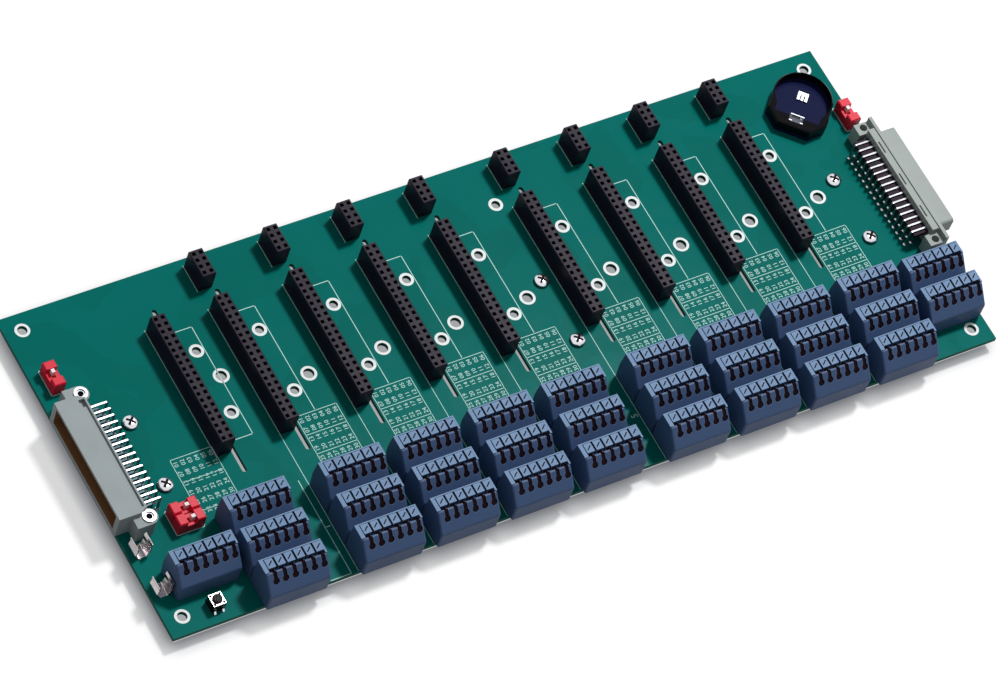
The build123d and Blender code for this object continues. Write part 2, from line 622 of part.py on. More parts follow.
# Slide switches: four alike, two along Y and two along X, each with one slider.
# Along its own plane's x direction a switch is SWITCH_LENGTH long.
switch_planes = {
    "1": Plane(origin=(SWITCH_1_X, SWITCH_1_Y, 0), x_dir=(0, 1, 0), z_dir=(0, 0, 1)),
    "2": Plane(origin=(SWITCH_2_X, SWITCH_2_Y, 0), x_dir=(1, 0, 0), z_dir=(0, 0, 1)),
    "3": Plane(origin=(SWITCH_2_X, SWITCH_3_Y, 0), x_dir=(1, 0, 0), z_dir=(0, 0, 1)),
    "4": Plane(origin=(SWITCH_4_X, SWITCH_4_Y, 0), x_dir=(0, 1, 0), z_dir=(0, 0, 1)),
}
channel_floor = SWITCH_HEIGHT - SWITCH_CHANNEL_DEPTH
track_floor = channel_floor - SLIDER_TRACK_DEPTH
slider_width = SLIDER_TRACK_WIDTH - 2 * SLIDER_CLEARANCE
slider_height = SLIDER_TRACK_DEPTH - SLIDER_CLEARANCE + SLIDER_RISE

for number, plane in switch_planes.items():
    with BuildPart() as switch_body:
        with BuildSketch(plane):
            Rectangle(SWITCH_LENGTH, SWITCH_WIDTH)
        extrude(amount=SWITCH_HEIGHT)
        top = switch_body.faces().sort_by(Axis.Z)[-1]
        chamfer(top.outer_wire().edges(), length=SWITCH_EDGE)
        with BuildSketch(plane.offset(channel_floor)):
            Rectangle(SWITCH_CHANNEL_LENGTH, SWITCH_WIDTH)
        extrude(amount=SWITCH_CHANNEL_DEPTH, mode=Mode.SUBTRACT)
        with BuildSketch(plane.offset(track_floor)):
            Rectangle(SLIDER_TRACK_LENGTH, SLIDER_TRACK_WIDTH)
        extrude(amount=SLIDER_TRACK_DEPTH, mode=Mode.SUBTRACT)
    switch_body.part.label = f"switch_{number}_body"
    export_step(switch_body.part, f"parts/switch_{number}_body.step")

    with BuildPart() as switch_slider:
        with BuildSketch(plane.offset(track_floor + SLIDER_CLEARANCE)):
            with Locations((SLIDER_OFFSET, 0)):
                Rectangle(SLIDER_LENGTH, slider_width)
        extrude(amount=slider_height)
    switch_slider.part.label = f"switch_{number}_slider"
    export_step(switch_slider.part, f"parts/switch_{number}_slider.step")

# Coin-cell holder, drawn with x towards its side contact
cell_direction = (cos(radians(CELL_TURN)), sin(radians(CELL_TURN)), 0)
cell_plane = Plane(origin=(CELL_X, CELL_Y, 0), x_dir=cell_direction, z_dir=(0, 0, 1))
recess_radius = CELL_DIAMETER / 2 + CELL_CLEARANCE
holder_radius = recess_radius + CELL_WALL
notch_length = SIDE_CONTACT_OUTER + NOTCH_CLEARANCE - RECESS_FRONT
notch_width = SIDE_CONTACT_WIDTH + 2 * NOTCH_CLEARANCE

with BuildPart() as cell_holder:
    with BuildSketch(cell_plane):
        Circle(holder_radius)
        with BuildLine():
            Polyline(
                (0, -holder_radius),
                (HOLDER_SIDE_END, -holder_radius),
                (HOLDER_FRONT, -HOLDER_FRONT_WIDTH / 2),
                (HOLDER_FRONT, HOLDER_FRONT_WIDTH / 2),
                (HOLDER_SIDE_END, holder_radius),
                (0, holder_radius),
                close=True,
            )
        make_face()
    extrude(amount=HOLDER_HEIGHT)
    top = cell_holder.faces().sort_by(Axis.Z)[-1]
    chamfer(top.outer_wire().edges(), length=HOLDER_EDGE)
    with BuildSketch(cell_plane.offset(HOLDER_FLOOR)):
        Circle(recess_radius)
        with Locations((RECESS_FRONT / 2, 0)):
            Rectangle(RECESS_FRONT, RECESS_FRONT_WIDTH)
    extrude(amount=HOLDER_HEIGHT, mode=Mode.SUBTRACT)
    with BuildSketch(cell_plane.offset(SIDE_CONTACT_FOOT)):
        with Locations((RECESS_FRONT + notch_length / 2, 0)):
            Rectangle(notch_length, notch_width)
    extrude(amount=HOLDER_HEIGHT, mode=Mode.SUBTRACT)
cell_holder.part.label = "cell_holder"
export_step(cell_holder.part, "parts/cell_holder.step")

# Side contact: a bent strip with an inner leaf and two outer prongs
side_section = Plane(
    origin=(CELL_X, CELL_Y, 0),
    x_dir=cell_direction,
    z_dir=(sin(radians(CELL_TURN)), -cos(radians(CELL_TURN)), 0),
)
contact_top = HOLDER_HEIGHT + STRIP_THICKNESS / 2
half_strip = STRIP_THICKNESS / 2

with BuildPart() as cell_side_contact:
    with BuildSketch(side_section):
        with BuildLine():
            Polyline(
                (SIDE_CONTACT_INNER + half_strip, contact_top),
                (SIDE_CONTACT_INNER + half_strip, SIDE_CONTACT_FOOT + half_strip),
                (SIDE_CONTACT_OUTER - half_strip, SIDE_CONTACT_FOOT + half_strip),
                (SIDE_CONTACT_OUTER - half_strip, contact_top),
            )
        trace(line_width=STRIP_THICKNESS)
    extrude(amount=SIDE_CONTACT_WIDTH / 2, both=True)
    with BuildSketch(cell_plane.offset(SIDE_CONTACT_FOOT + STRIP_THICKNESS)):
        with Locations((SIDE_CONTACT_OUTER, 0)):
            Rectangle(2 * STRIP_THICKNESS + NOTCH_CLEARANCE, SIDE_CONTACT_WINDOW)
    extrude(amount=HOLDER_HEIGHT, mode=Mode.SUBTRACT)
cell_side_contact.part.label = "cell_side_contact"
export_step(cell_side_contact.part, "parts/cell_side_contact.step")

# Base contact: a square pad on the recess floor, split into three spring fingers
with BuildPart() as cell_base_contact:
    with BuildSketch(cell_plane.offset(HOLDER_FLOOR)):
        with Locations((BASE_PAD_CENTRE, 0)):
            Rectangle(BASE_PAD_SIZE, BASE_PAD_SIZE)
        with Locations((BASE_PAD_CENTRE + (BASE_PAD_SIZE - BASE_SLIT_LENGTH) / 2, 0)):
            with GridLocations(1, BASE_SLIT_PITCH, 1, 2):
                Rectangle(BASE_SLIT_LENGTH, BASE_SLIT_WIDTH, mode=Mode.SUBTRACT)
    extrude(amount=2 * STRIP_THICKNESS)
cell_base_contact.part.label = "cell_base_contact"
export_step(cell_base_contact.part, "parts/cell_base_contact.step")

# Fuse clips: one bent strip each, side by side along Y
half_clip = CLIP_THICKNESS / 2
with BuildPart() as fuse_clips:
    with BuildSketch(Plane.XZ.offset(-CLIP_Y), Plane.XZ.offset(CLIP_SPACING - CLIP_Y)):
        with BuildLine():
            FilletPolyline(
                (CLIP_X - CLIP_LIP_HALF, CLIP_HEIGHT),
                (CLIP_X - CLIP_THROAT_HALF, CLIP_THROAT_HEIGHT),
                (CLIP_X - CLIP_BELLY_HALF, CLIP_BELLY_HEIGHT),
                (CLIP_X - CLIP_BASE_HALF, half_clip),
                (CLIP_X + CLIP_BASE_HALF, half_clip),
                (CLIP_X + CLIP_BELLY_HALF, CLIP_BELLY_HEIGHT),
                (CLIP_X + CLIP_THROAT_HALF, CLIP_THROAT_HEIGHT),
                (CLIP_X + CLIP_LIP_HALF, CLIP_HEIGHT),
                radius=CLIP_BEND,
            )
        trace(line_width=CLIP_THICKNESS)
    extrude(amount=CLIP_WIDTH / 2, both=True)
fuse_clips.part.label = "fuse_clips"
export_step(fuse_clips.part, "parts/fuse_clips.step")

# Push switch: base with a well, metal cover, four legs and a round button
key_plane = Plane(origin=(KEY_X, KEY_Y, 0), z_dir=(0, 0, 1))
well_floor = KEY_BODY_HEIGHT - KEY_WELL_DEPTH
button_bottom = well_floor + BUTTON_TRAVEL + BUTTON_STOP_CLEARANCE
button_top = KEY_BODY_HEIGHT + KEY_COVER_THICKNESS + BUTTON_PROUD
key_leg_x = (KEY_X - KEY_LEG_SPACING / 2, KEY_X + KEY_LEG_SPACING / 2)

with BuildPart() as key_base:
    with BuildSketch(key_plane):
        Rectangle(KEY_SIZE, KEY_SIZE)
    extrude(amount=KEY_BODY_HEIGHT)
    with BuildSketch(key_plane.offset(well_floor)):
        Circle(KEY_WELL_RADIUS)
    extrude(amount=KEY_WELL_DEPTH, mode=Mode.SUBTRACT)
    with BuildSketch(key_plane.offset(KEY_BODY_HEIGHT)):
        with GridLocations(KEY_STUD_SPACING, KEY_STUD_SPACING, 2, 2):
            Circle(KEY_STUD_RADIUS)
    extrude(amount=KEY_COVER_THICKNESS + KEY_STUD_PROUD)
key_base.part.label = "key_base"
export_step(key_base.part, "parts/key_base.step")

with BuildPart() as key_cover:
    with BuildSketch(key_plane.offset(KEY_BODY_HEIGHT)):
        Rectangle(KEY_SIZE, KEY_SIZE)
        Circle(KEY_COVER_HOLE_RADIUS, mode=Mode.SUBTRACT)
        with GridLocations(KEY_STUD_SPACING, KEY_STUD_SPACING, 2, 2):
            Circle(KEY_STUD_HOLE_RADIUS, mode=Mode.SUBTRACT)
    extrude(amount=KEY_COVER_THICKNESS)
key_cover.part.label = "key_cover"
export_step(key_cover.part, "parts/key_cover.step")

with BuildPart() as key_legs:
    for side in (-1, 1):
        leg_y = KEY_Y + side * (KEY_SIZE / 2 + KEY_LEG_THICKNESS / 2)
        foot_y = leg_y + side * KEY_LEG_REACH
        with BuildSketch(*[Plane.YZ.offset(x) for x in key_leg_x]):
            with BuildLine():
                Polyline((leg_y, KEY_LEG_HEIGHT), (leg_y, KEY_LEG_HEIGHT / 2), (foot_y, KEY_LEG_THICKNESS))
            trace(line_width=KEY_LEG_THICKNESS)
        extrude(amount=KEY_LEG_WIDTH / 2, both=True)
key_legs.part.label = "key_legs"
export_step(key_legs.part, "parts/key_legs.step")

with BuildPart() as key_button:
    with BuildSketch(key_plane.offset(button_bottom)):
        Circle(BUTTON_RADIUS)
    extrude(amount=button_top - button_bottom)
    fillet(key_button.edges().sort_by(Axis.Z)[-1], radius=BUTTON_EDGE)
key_button.part.label = "key_button"
export_step(key_button.part, "parts/key_button.step")

# Rail clips: a plate under the board with a hook at each end
for number, x in enumerate(CLIP_SCREW_X, start=1):
    with BuildPart() as rail_clip:
        with BuildSketch(Plane.YZ.offset(x)):
            with Locations((CLIP_SCREW_Y, clip_top - RAIL_CLIP_THICKNESS / 2)):
                Rectangle(2 * clip_outer_half, RAIL_CLIP_THICKNESS)
            for side in (-1, 1):
                leg_y = CLIP_SCREW_Y + side * (clip_inner_half + RAIL_CLIP_THICKNESS / 2)
                lip_y = CLIP_SCREW_Y + side * (clip_outer_half - (RAIL_CLIP_THICKNESS + RAIL_HOOK_LIP) / 2)
                with Locations((leg_y, (clip_top + clip_bottom) / 2)):
                    Rectangle(RAIL_CLIP_THICKNESS, clip_top - clip_bottom)
                with Locations((lip_y, clip_bottom + RAIL_CLIP_THICKNESS / 2)):
                    Rectangle(RAIL_CLIP_THICKNESS + RAIL_HOOK_LIP, RAIL_CLIP_THICKNESS)
        extrude(amount=RAIL_CLIP_WIDTH / 2, both=True)
        with BuildSketch(Plane.XY.offset(clip_plate_bottom)):
            with Locations((x, CLIP_SCREW_Y)):
                with GridLocations(1, CLIP_SCREW_SPACING, 1, 2):
                    Circle(CLIP_SCREW_RADIUS + CLIP_THREAD_CLEARANCE)
        extrude(amount=RAIL_CLIP_THICKNESS, mode=Mode.SUBTRACT)
        hook_edges = rail_clip.edges().filter_by(Axis.X).group_by(Axis.Z)[0]
        chamfer(hook_edges, length=RAIL_HOOK_EDGE)
    rail_clip.part.label = f"rail_clip_{number}"
    export_step(rail_clip.part, f"parts/rail_clip_{number}.step")

# Pan-head screws with a cross recess, from the board's face into the rail clips
screw_length = BOARD_THICKNESS + RAIL_CLIP_THICKNESS + SCREW_TIP
with BuildPart() as one_screw:
    with BuildSketch(Plane.XZ):
        with BuildLine():
            Polyline(
                (0, SCREW_HEAD_HEIGHT),
                (0, -screw_length),
                (CLIP_SCREW_RADIUS, -screw_length),
                (CLIP_SCREW_RADIUS, 0),
                (SCREW_HEAD_RADIUS, 0),
                (SCREW_HEAD_RADIUS, SCREW_HEAD_RIM),
            )
            EllipticalCenterArc(
                (0, SCREW_HEAD_RIM),
                SCREW_HEAD_RADIUS,
                SCREW_HEAD_HEIGHT - SCREW_HEAD_RIM,
                start_angle=0,
                arc_size=90,
            )
        make_face()
    revolve(axis=Axis.Z)
    with BuildSketch(Plane.XY.offset(SCREW_HEAD_HEIGHT)):
        for turn in SCREW_CROSS_TURNS:
            Rectangle(SCREW_CROSS_LENGTH, SCREW_CROSS_WIDTH, rotation=turn)
    extrude(amount=-SCREW_CROSS_DEPTH, mode=Mode.SUBTRACT)

with BuildPart() as clip_screws:
    with Locations(*clip_holes):
        add(one_screw.part)
clip_screws.part.label = "clip_screws"
export_step(clip_screws.part, "parts/clip_screws.step")
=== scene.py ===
# %% [markdown]
# # A backplane board for upright cards
# The solids of the board come in from model.glb. They already have their final shapes,
# so each of them keeps its mesh and gets a finish. What is too thin or too small for the
# solids is modelled here: the white print, the solder and dark pieces that paint shade into hollows.

import math
import bpy
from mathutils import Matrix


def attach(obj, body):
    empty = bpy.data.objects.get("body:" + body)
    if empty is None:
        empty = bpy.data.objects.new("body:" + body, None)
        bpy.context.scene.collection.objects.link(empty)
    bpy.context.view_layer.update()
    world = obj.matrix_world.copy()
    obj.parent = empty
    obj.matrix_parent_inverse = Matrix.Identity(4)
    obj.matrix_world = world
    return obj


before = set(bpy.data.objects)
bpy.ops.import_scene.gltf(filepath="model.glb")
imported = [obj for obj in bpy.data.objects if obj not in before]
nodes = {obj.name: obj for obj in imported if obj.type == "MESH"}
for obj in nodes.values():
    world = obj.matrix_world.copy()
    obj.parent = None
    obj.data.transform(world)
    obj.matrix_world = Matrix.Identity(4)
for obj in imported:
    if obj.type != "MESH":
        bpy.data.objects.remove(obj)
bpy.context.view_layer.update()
print("solids loaded:", len(nodes))

# %% [markdown]
# ## Sizes that the new pieces share
# Blender works in metres here, and the board was measured in millimetres. One small
# function turns one into the other, so the numbers below can be read off a ruler.
# The cards stand in nine rows. Eight of them are numbered, in two groups of four with a
# wider gap between the groups.

# %% Sizes
def mm(value):
    return value * 0.001


BOARD_THICKNESS = 1.6
HOST_X = -112.0
SLOT_X = [-88.5, -60.56, -32.62, -4.68, 28.34, 56.28, 84.22, 112.16]
HEADER_X = [HOST_X] + SLOT_X
HEADER_Y = 17.0
SMALL_HEADER_Y = 55.55
PIN_PITCH = 2.54
PRINT_THICKNESS = 0.03
print("rows for cards:", len(HEADER_X))

# %% [markdown]
# ## Small helpers for pieces
# An operator acts on everything that is selected, so each step starts with nothing
# selected. A repeated shape is modelled once and copied with its own mesh. At the end the
# copies are joined, and the place of the joined piece goes into its mesh.

# %% Helpers for pieces
def deselect():
    bpy.ops.object.select_all(action="DESELECT")


def make_active(piece):
    deselect()
    piece.select_set(True)
    bpy.context.view_layer.objects.active = piece


def named(name):
    piece = bpy.context.active_object
    piece.name = name
    piece.data.name = name
    return piece


def apply_place(piece):
    make_active(piece)
    bpy.ops.object.transform_apply(location=True, rotation=True, scale=True)


def apply_modifiers(piece):
    make_active(piece)
    for modifier in list(piece.modifiers):
        bpy.ops.object.modifier_apply(modifier=modifier.name)


def copy_to(piece, place, turn=0.0, scale=(1.0, 1.0, 1.0)):
    twin = piece.copy()
    twin.data = piece.data.copy()
    twin.location = place
    twin.rotation_euler = (0.0, 0.0, turn)
    twin.scale = scale
    bpy.context.collection.objects.link(twin)
    return twin


def drop(piece):
    bpy.data.meshes.remove(piece.data)


def join(pieces, name):
    deselect()
    for piece in pieces:
        piece.select_set(True)
    bpy.context.view_layer.objects.active = pieces[0]
    bpy.ops.object.transform_apply(location=True, rotation=True, scale=True)
    if len(pieces) > 1:
        bpy.ops.object.join()
    joined = named(name)
    print(name, "has", len(joined.data.polygons), "faces")
    return joined


def select_corners(piece, wanted):
    make_active(piece)
    bpy.ops.object.mode_set(mode="EDIT")
    bpy.ops.mesh.select_mode(type="VERT")
    bpy.ops.mesh.select_all(action="DESELECT")
    bpy.ops.object.mode_set(mode="OBJECT")
    for corner in piece.data.vertices:
        corner.select = wanted(corner.co)
    bpy.ops.object.mode_set(mode="EDIT")


def select_faces(piece, wanted):
    make_active(piece)
    bpy.ops.object.mode_set(mode="EDIT")
    bpy.ops.mesh.select_mode(type="FACE")
    bpy.ops.mesh.select_all(action="DESELECT")
    bpy.ops.object.mode_set(mode="OBJECT")
    for face in piece.data.polygons:
        face.select = wanted(face)
    bpy.ops.object.mode_set(mode="EDIT")


# %% [markdown]
# ## Camera
# The photograph was taken with a long lens from the front left. The camera was fitted to
# the corners of the headers, the holes and the board. Its direction and lens come from
# that fit. Its distance follows the scale that was taken for the board, and two fits
# differed there by 1.7%.

# %% Camera
CAMERA_PLACE = (-777.5, -707.0, 1453.3)
CAMERA_FORWARD = (0.4311, 0.3920, -0.8127)
CAMERA_UP = (0.2981, 0.7882, 0.5384)
LENS = 195.26
SENSOR = 36.0

from mathutils import Matrix, Vector

forward = Vector(CAMERA_FORWARD).normalized()
right = forward.cross(Vector(CAMERA_UP)).normalized()
up = right.cross(forward)
bpy.ops.object.camera_add()
camera = bpy.context.active_object
camera.name = "photo_camera"
camera.data.lens = LENS
camera.data.sensor_width = SENSOR
camera.data.sensor_fit = "HORIZONTAL"
camera.data.clip_end = 20.0
axes = Matrix((right, up, -forward)).transposed().to_4x4()
camera.matrix_world = Matrix.Translation([mm(v) for v in CAMERA_PLACE]) @ axes
bpy.context.scene.camera = camera
print("camera lens:", LENS)

# %% [markdown]
# ## Shared effects
# Moulded plastic is never one flat colour. Its shade drifts slowly over the piece, it has
# a fine grain, and its gloss changes a little from place to place. One node group makes
# all three from noise in the object's own coordinates, and each plastic sets its own
# values on it. The metals share a second group, which stretches the noise along one axis
# so that it reads as drawn or rolled metal.

# %% Helpers for materials
def add_socket(group, name, in_out, kind, value=None):
    socket = group.interface.new_socket(name=name, in_out=in_out, socket_type=kind)
    if value is not None:
        socket.default_value = value


def new_group(name, inputs, outputs):
    group = bpy.data.node_groups.new(name, "ShaderNodeTree")
    for label, kind, value in inputs:
        add_socket(group, label, "INPUT", kind, value)
    for label, kind in outputs:
        add_socket(group, label, "OUTPUT", kind)
    start = group.nodes.new("NodeGroupInput")
    end = group.nodes.new("NodeGroupOutput")
    return group, start, end


def math_node(tree, operation, first, second=None, clamp=False):
    node = tree.nodes.new("ShaderNodeMath")
    node.operation = operation
    node.use_clamp = clamp
    for socket, value in zip(node.inputs, (first, second)):
        if isinstance(value, (int, float)):
            socket.default_value = value
        elif value is not None:
            tree.links.new(value, socket)
    return node.outputs[0]


def noise_node(tree, vector, scale, detail=3.0, roughness=0.5):
    node = tree.nodes.new("ShaderNodeTexNoise")
    node.inputs["Detail"].default_value = detail
    node.inputs["Roughness"].default_value = roughness
    if isinstance(scale, (int, float)):
        node.inputs["Scale"].default_value = scale
    else:
        tree.links.new(scale, node.inputs["Scale"])
    tree.links.new(vector, node.inputs["Vector"])
    return node.outputs["Fac"]


def mix_colour(tree, factor, first, second):
    node = tree.nodes.new("ShaderNodeMix")
    node.data_type = "RGBA"
    colour_sockets = [s for s in node.inputs if s.type == "RGBA"]
    factor_socket = [s for s in node.inputs if s.type == "VALUE"][0]
    for socket, value in zip([factor_socket] + colour_sockets, (factor, first, second)):
        if isinstance(value, bpy.types.NodeSocket):
            tree.links.new(value, socket)
        else:
            socket.default_value = value
    return [s for s in node.outputs if s.type == "RGBA"][0]


def object_coordinates(tree):
    return tree.nodes.new("ShaderNodeTexCoord").outputs["Object"]


def linear(red, green, blue):
    parts = []
    for value in (red, green, blue):
        part = value / 255.0
        parts.append(part / 12.92 if part <= 0.04045 else ((part + 0.055) / 1.055) ** 2.4)
    return (*parts, 1.0)


# %% [markdown]
# The first group is for moulded plastic. The drift is a slow noise between two colours,
# and the grain is a fine one that goes out as a height for the bump.

# %% Moulded plastic
moulded, m_in, m_out = new_group(
    "moulded_plastic",
    [
        ("Colour", "NodeSocketColor", (0.5, 0.5, 0.5, 1.0)),
        ("Drift Colour", "NodeSocketColor", (0.4, 0.4, 0.4, 1.0)),
        ("Drift", "NodeSocketFloat", 0.4),
        ("Drift Scale", "NodeSocketFloat", 90.0),
        ("Grain Scale", "NodeSocketFloat", 2500.0),
        ("Roughness", "NodeSocketFloat", 0.5),
        ("Roughness Spread", "NodeSocketFloat", 0.12),
    ],
    [("Colour", "NodeSocketColor"), ("Roughness", "NodeSocketFloat"), ("Height", "NodeSocketFloat")],
)
place = object_coordinates(moulded)
drift = noise_node(moulded, place, m_in.outputs["Drift Scale"], 4.0, 0.6)
grain = noise_node(moulded, place, m_in.outputs["Grain Scale"], 2.0, 0.5)
drift_amount = math_node(moulded, "MULTIPLY", drift, m_in.outputs["Drift"], clamp=True)
drifted = mix_colour(moulded, drift_amount, m_in.outputs["Colour"], m_in.outputs["Drift Colour"])
spread = math_node(moulded, "SUBTRACT", drift, 0.5)
spread = math_node(moulded, "MULTIPLY", spread, m_in.outputs["Roughness Spread"])
moulded.links.new(drifted, m_out.inputs["Colour"])
roughness = math_node(moulded, "ADD", m_in.outputs["Roughness"], spread, clamp=True)
moulded.links.new(roughness, m_out.inputs["Roughness"])
moulded.links.new(grain, m_out.inputs["Height"])
print("group:", moulded.name)

# %% [markdown]
# The second group is for metal. Stretching the coordinates before the noise turns round
# spots into streaks, which is how strip that went through rollers looks.

# %% Drawn metal
drawn, d_in, d_out = new_group(
    "drawn_metal",
    [
        ("Colour", "NodeSocketColor", (0.7, 0.7, 0.7, 1.0)),
        ("Dull Colour", "NodeSocketColor", (0.5, 0.5, 0.5, 1.0)),
        ("Stretch", "NodeSocketVector", (1.0, 8.0, 8.0)),
        ("Scale", "NodeSocketFloat", 260.0),
        ("Roughness", "NodeSocketFloat", 0.3),
        ("Roughness Spread", "NodeSocketFloat", 0.2),
    ],
    [("Colour", "NodeSocketColor"), ("Roughness", "NodeSocketFloat"), ("Height", "NodeSocketFloat")],
)
stretched = drawn.nodes.new("ShaderNodeVectorMath")
stretched.operation = "MULTIPLY"
drawn.links.new(object_coordinates(drawn), stretched.inputs[0])
drawn.links.new(d_in.outputs["Stretch"], stretched.inputs[1])
streaks = noise_node(drawn, stretched.outputs[0], d_in.outputs["Scale"], 4.0, 0.6)
dulled = mix_colour(drawn, streaks, d_in.outputs["Colour"], d_in.outputs["Dull Colour"])
drawn.links.new(dulled, d_out.inputs["Colour"])
spread = math_node(drawn, "SUBTRACT", streaks, 0.5)
spread = math_node(drawn, "MULTIPLY", spread, d_in.outputs["Roughness Spread"])
roughness = math_node(drawn, "ADD", d_in.outputs["Roughness"], spread, clamp=True)
drawn.links.new(roughness, d_out.inputs["Roughness"])
drawn.links.new(streaks, d_out.inputs["Height"])
print("group:", drawn.name)


# %% [markdown]
# ## Masks by place
# Some colours change at a known place on a piece, and most of them are painted light or shade:
# the inside of a connector is painted darker than its outside as shade, low places are painted
# darker as shade or lighter as a reflection, and the faces that don't face up are painted darker
# as shade, which also stands for the duller cut sides of a stamped contact. Three small groups
# give masks for this. The first is one below a height, the second is one inside a box, and the
# third is one where the surface doesn't face up.

# %% Low places
low_places, l_in, l_out = new_group(
    "low_places",
    [("Height", "NodeSocketFloat", 0.001), ("Fade", "NodeSocketFloat", 0.0005)],
    [("Mask", "NodeSocketFloat")],
)
split = low_places.nodes.new("ShaderNodeSeparateXYZ")
low_places.links.new(object_coordinates(low_places), split.inputs[0])
above = math_node(low_places, "SUBTRACT", split.outputs["Z"], l_in.outputs["Height"])
above = math_node(low_places, "DIVIDE", above, l_in.outputs["Fade"], clamp=True)
low_places.links.new(math_node(low_places, "SUBTRACT", 1.0, above), l_out.inputs["Mask"])
print("group:", low_places.name)

# %% [markdown]
# For the box, each coordinate's distance from the centre is taken less the half size. The
# point is inside where the largest of the three is below zero.

# %% Inside a box
inside_box, b_in, b_out = new_group(
    "inside_box",
    [("Centre", "NodeSocketVector", (0.0, 0.0, 0.0)), ("Half Size", "NodeSocketVector", (0.01, 0.01, 0.01))],
    [("Mask", "NodeSocketFloat")],
)


def vector_node(tree, operation, first, second=None):
    node = tree.nodes.new("ShaderNodeVectorMath")
    node.operation = operation
    tree.links.new(first, node.inputs[0])
    if second is not None:
        tree.links.new(second, node.inputs[1])
    return node.outputs[0]


away = vector_node(inside_box, "SUBTRACT", object_coordinates(inside_box), b_in.outputs["Centre"])
away = vector_node(inside_box, "ABSOLUTE", away)
away = vector_node(inside_box, "SUBTRACT", away, b_in.outputs["Half Size"])
split = inside_box.nodes.new("ShaderNodeSeparateXYZ")
inside_box.links.new(away, split.inputs[0])
furthest = math_node(inside_box, "MAXIMUM", split.outputs["X"], split.outputs["Y"])
furthest = math_node(inside_box, "MAXIMUM", furthest, split.outputs["Z"])
inside_box.links.new(math_node(inside_box, "LESS_THAN", furthest, 0.0), b_out.inputs["Mask"])
print("group:", inside_box.name)

# %% [markdown]
# A stamped contact has two rolled faces and a cut edge all round. Where it lies flat the
# cut edge is what doesn't face up, so the height of the normal is enough for a mask. The
# darker colour laid on this mask is also painted shade on every face that doesn't face up.

# %% Sides that do not face up
cut_and_shaded_sides, c_in, c_out = new_group(
    "cut_and_shaded_sides",
    [("Limit", "NodeSocketFloat", 0.8)],
    [("Mask", "NodeSocketFloat")],
)
split = cut_and_shaded_sides.nodes.new("ShaderNodeSeparateXYZ")
cut_and_shaded_sides.links.new(cut_and_shaded_sides.nodes.new("ShaderNodeNewGeometry").outputs["Normal"], split.inputs[0])
cut_and_shaded_sides.links.new(
    math_node(cut_and_shaded_sides, "LESS_THAN", split.outputs["Z"], c_in.outputs["Limit"]), c_out.inputs["Mask"])
print("group:", cut_and_shaded_sides.name)


# %% [markdown]
# Handling rubs the edges of a moulded piece first, and there it turns paler; the paler edges are also a
# painted highlight. A rounded normal differs from the true one only near an edge, so the angle between the
# two is a mask for edges. A noise breaks it up, because wear is never even.

# %% Worn and highlit edges
worn_and_highlit_edges, w_in, w_out = new_group(
    "worn_and_highlit_edges",
    [("Patch Scale", "NodeSocketFloat", 400.0), ("Gain", "NodeSocketFloat", 3.0)],
    [("Mask", "NodeSocketFloat")],
)
EDGE_RADIUS = 0.22
EDGE_TURN = 0.97
rounded = worn_and_highlit_edges.nodes.new("ShaderNodeBevel")
rounded.samples = 6
rounded.inputs["Radius"].default_value = mm(EDGE_RADIUS)
true_normal = worn_and_highlit_edges.nodes.new("ShaderNodeNewGeometry").outputs["True Normal"]
together = worn_and_highlit_edges.nodes.new("ShaderNodeVectorMath")
together.operation = "DOT_PRODUCT"
worn_and_highlit_edges.links.new(rounded.outputs["Normal"], together.inputs[0])
worn_and_highlit_edges.links.new(true_normal, together.inputs[1])
apart = math_node(worn_and_highlit_edges, "SUBTRACT", EDGE_TURN, together.outputs["Value"])
patches = noise_node(worn_and_highlit_edges, object_coordinates(worn_and_highlit_edges), w_in.outputs["Patch Scale"], 3.0)
apart = math_node(worn_and_highlit_edges, "MULTIPLY", apart, w_in.outputs["Gain"])
worn_and_highlit_edges.links.new(
    math_node(worn_and_highlit_edges, "MULTIPLY", apart, patches, clamp=True), w_out.inputs["Mask"])
print("group:", worn_and_highlit_edges.name)


# %% [markdown]
# The groups put out colours, heights and masks only. The Principled shader stays in each
# material, where these helpers join it to the groups, and a tint lays one more colour
# over the base by a mask.

# %% Material builders
def new_material(name):
    material = bpy.data.materials.new(name)
    material.use_nodes = True
    return material, material.node_tree, material.node_tree.nodes["Principled BSDF"]


def place_group(tree, group, values):
    node = tree.nodes.new("ShaderNodeGroup")
    node.node_tree = group
    for name, value in values.items():
        node.inputs[name].default_value = value
    return node


def bump(tree, shader, height, distance, strength=1.0):
    node = tree.nodes.new("ShaderNodeBump")
    node.inputs["Strength"].default_value = strength
    node.inputs["Distance"].default_value = distance
    tree.links.new(height, node.inputs["Height"])
    tree.links.new(node.outputs["Normal"], shader.inputs["Normal"])


def tint(material, group, values, colour, strength=1.0):
    tree = material.node_tree
    shader = tree.nodes["Principled BSDF"]
    mask = place_group(tree, group, values).outputs["Mask"]
    if strength < 1.0:
        mask = math_node(tree, "MULTIPLY", mask, strength)
    before = shader.inputs["Base Color"].links[0].from_socket
    tree.links.new(mix_colour(tree, mask, before, colour), shader.inputs["Base Color"])


def plastic(name, colour, drift_colour, roughness, drift=0.5, drift_scale=90.0, specular=0.25, grain=0.00002):
    material, tree, shader = new_material(name)
    group = place_group(tree, moulded, {
        "Colour": colour,
        "Drift Colour": drift_colour,
        "Drift": drift,
        "Drift Scale": drift_scale,
        "Roughness": roughness,
    })
    tree.links.new(group.outputs["Colour"], shader.inputs["Base Color"])
    tree.links.new(group.outputs["Roughness"], shader.inputs["Roughness"])
    shader.inputs["Specular IOR Level"].default_value = specular
    bump(tree, shader, group.outputs["Height"], grain)
    return material


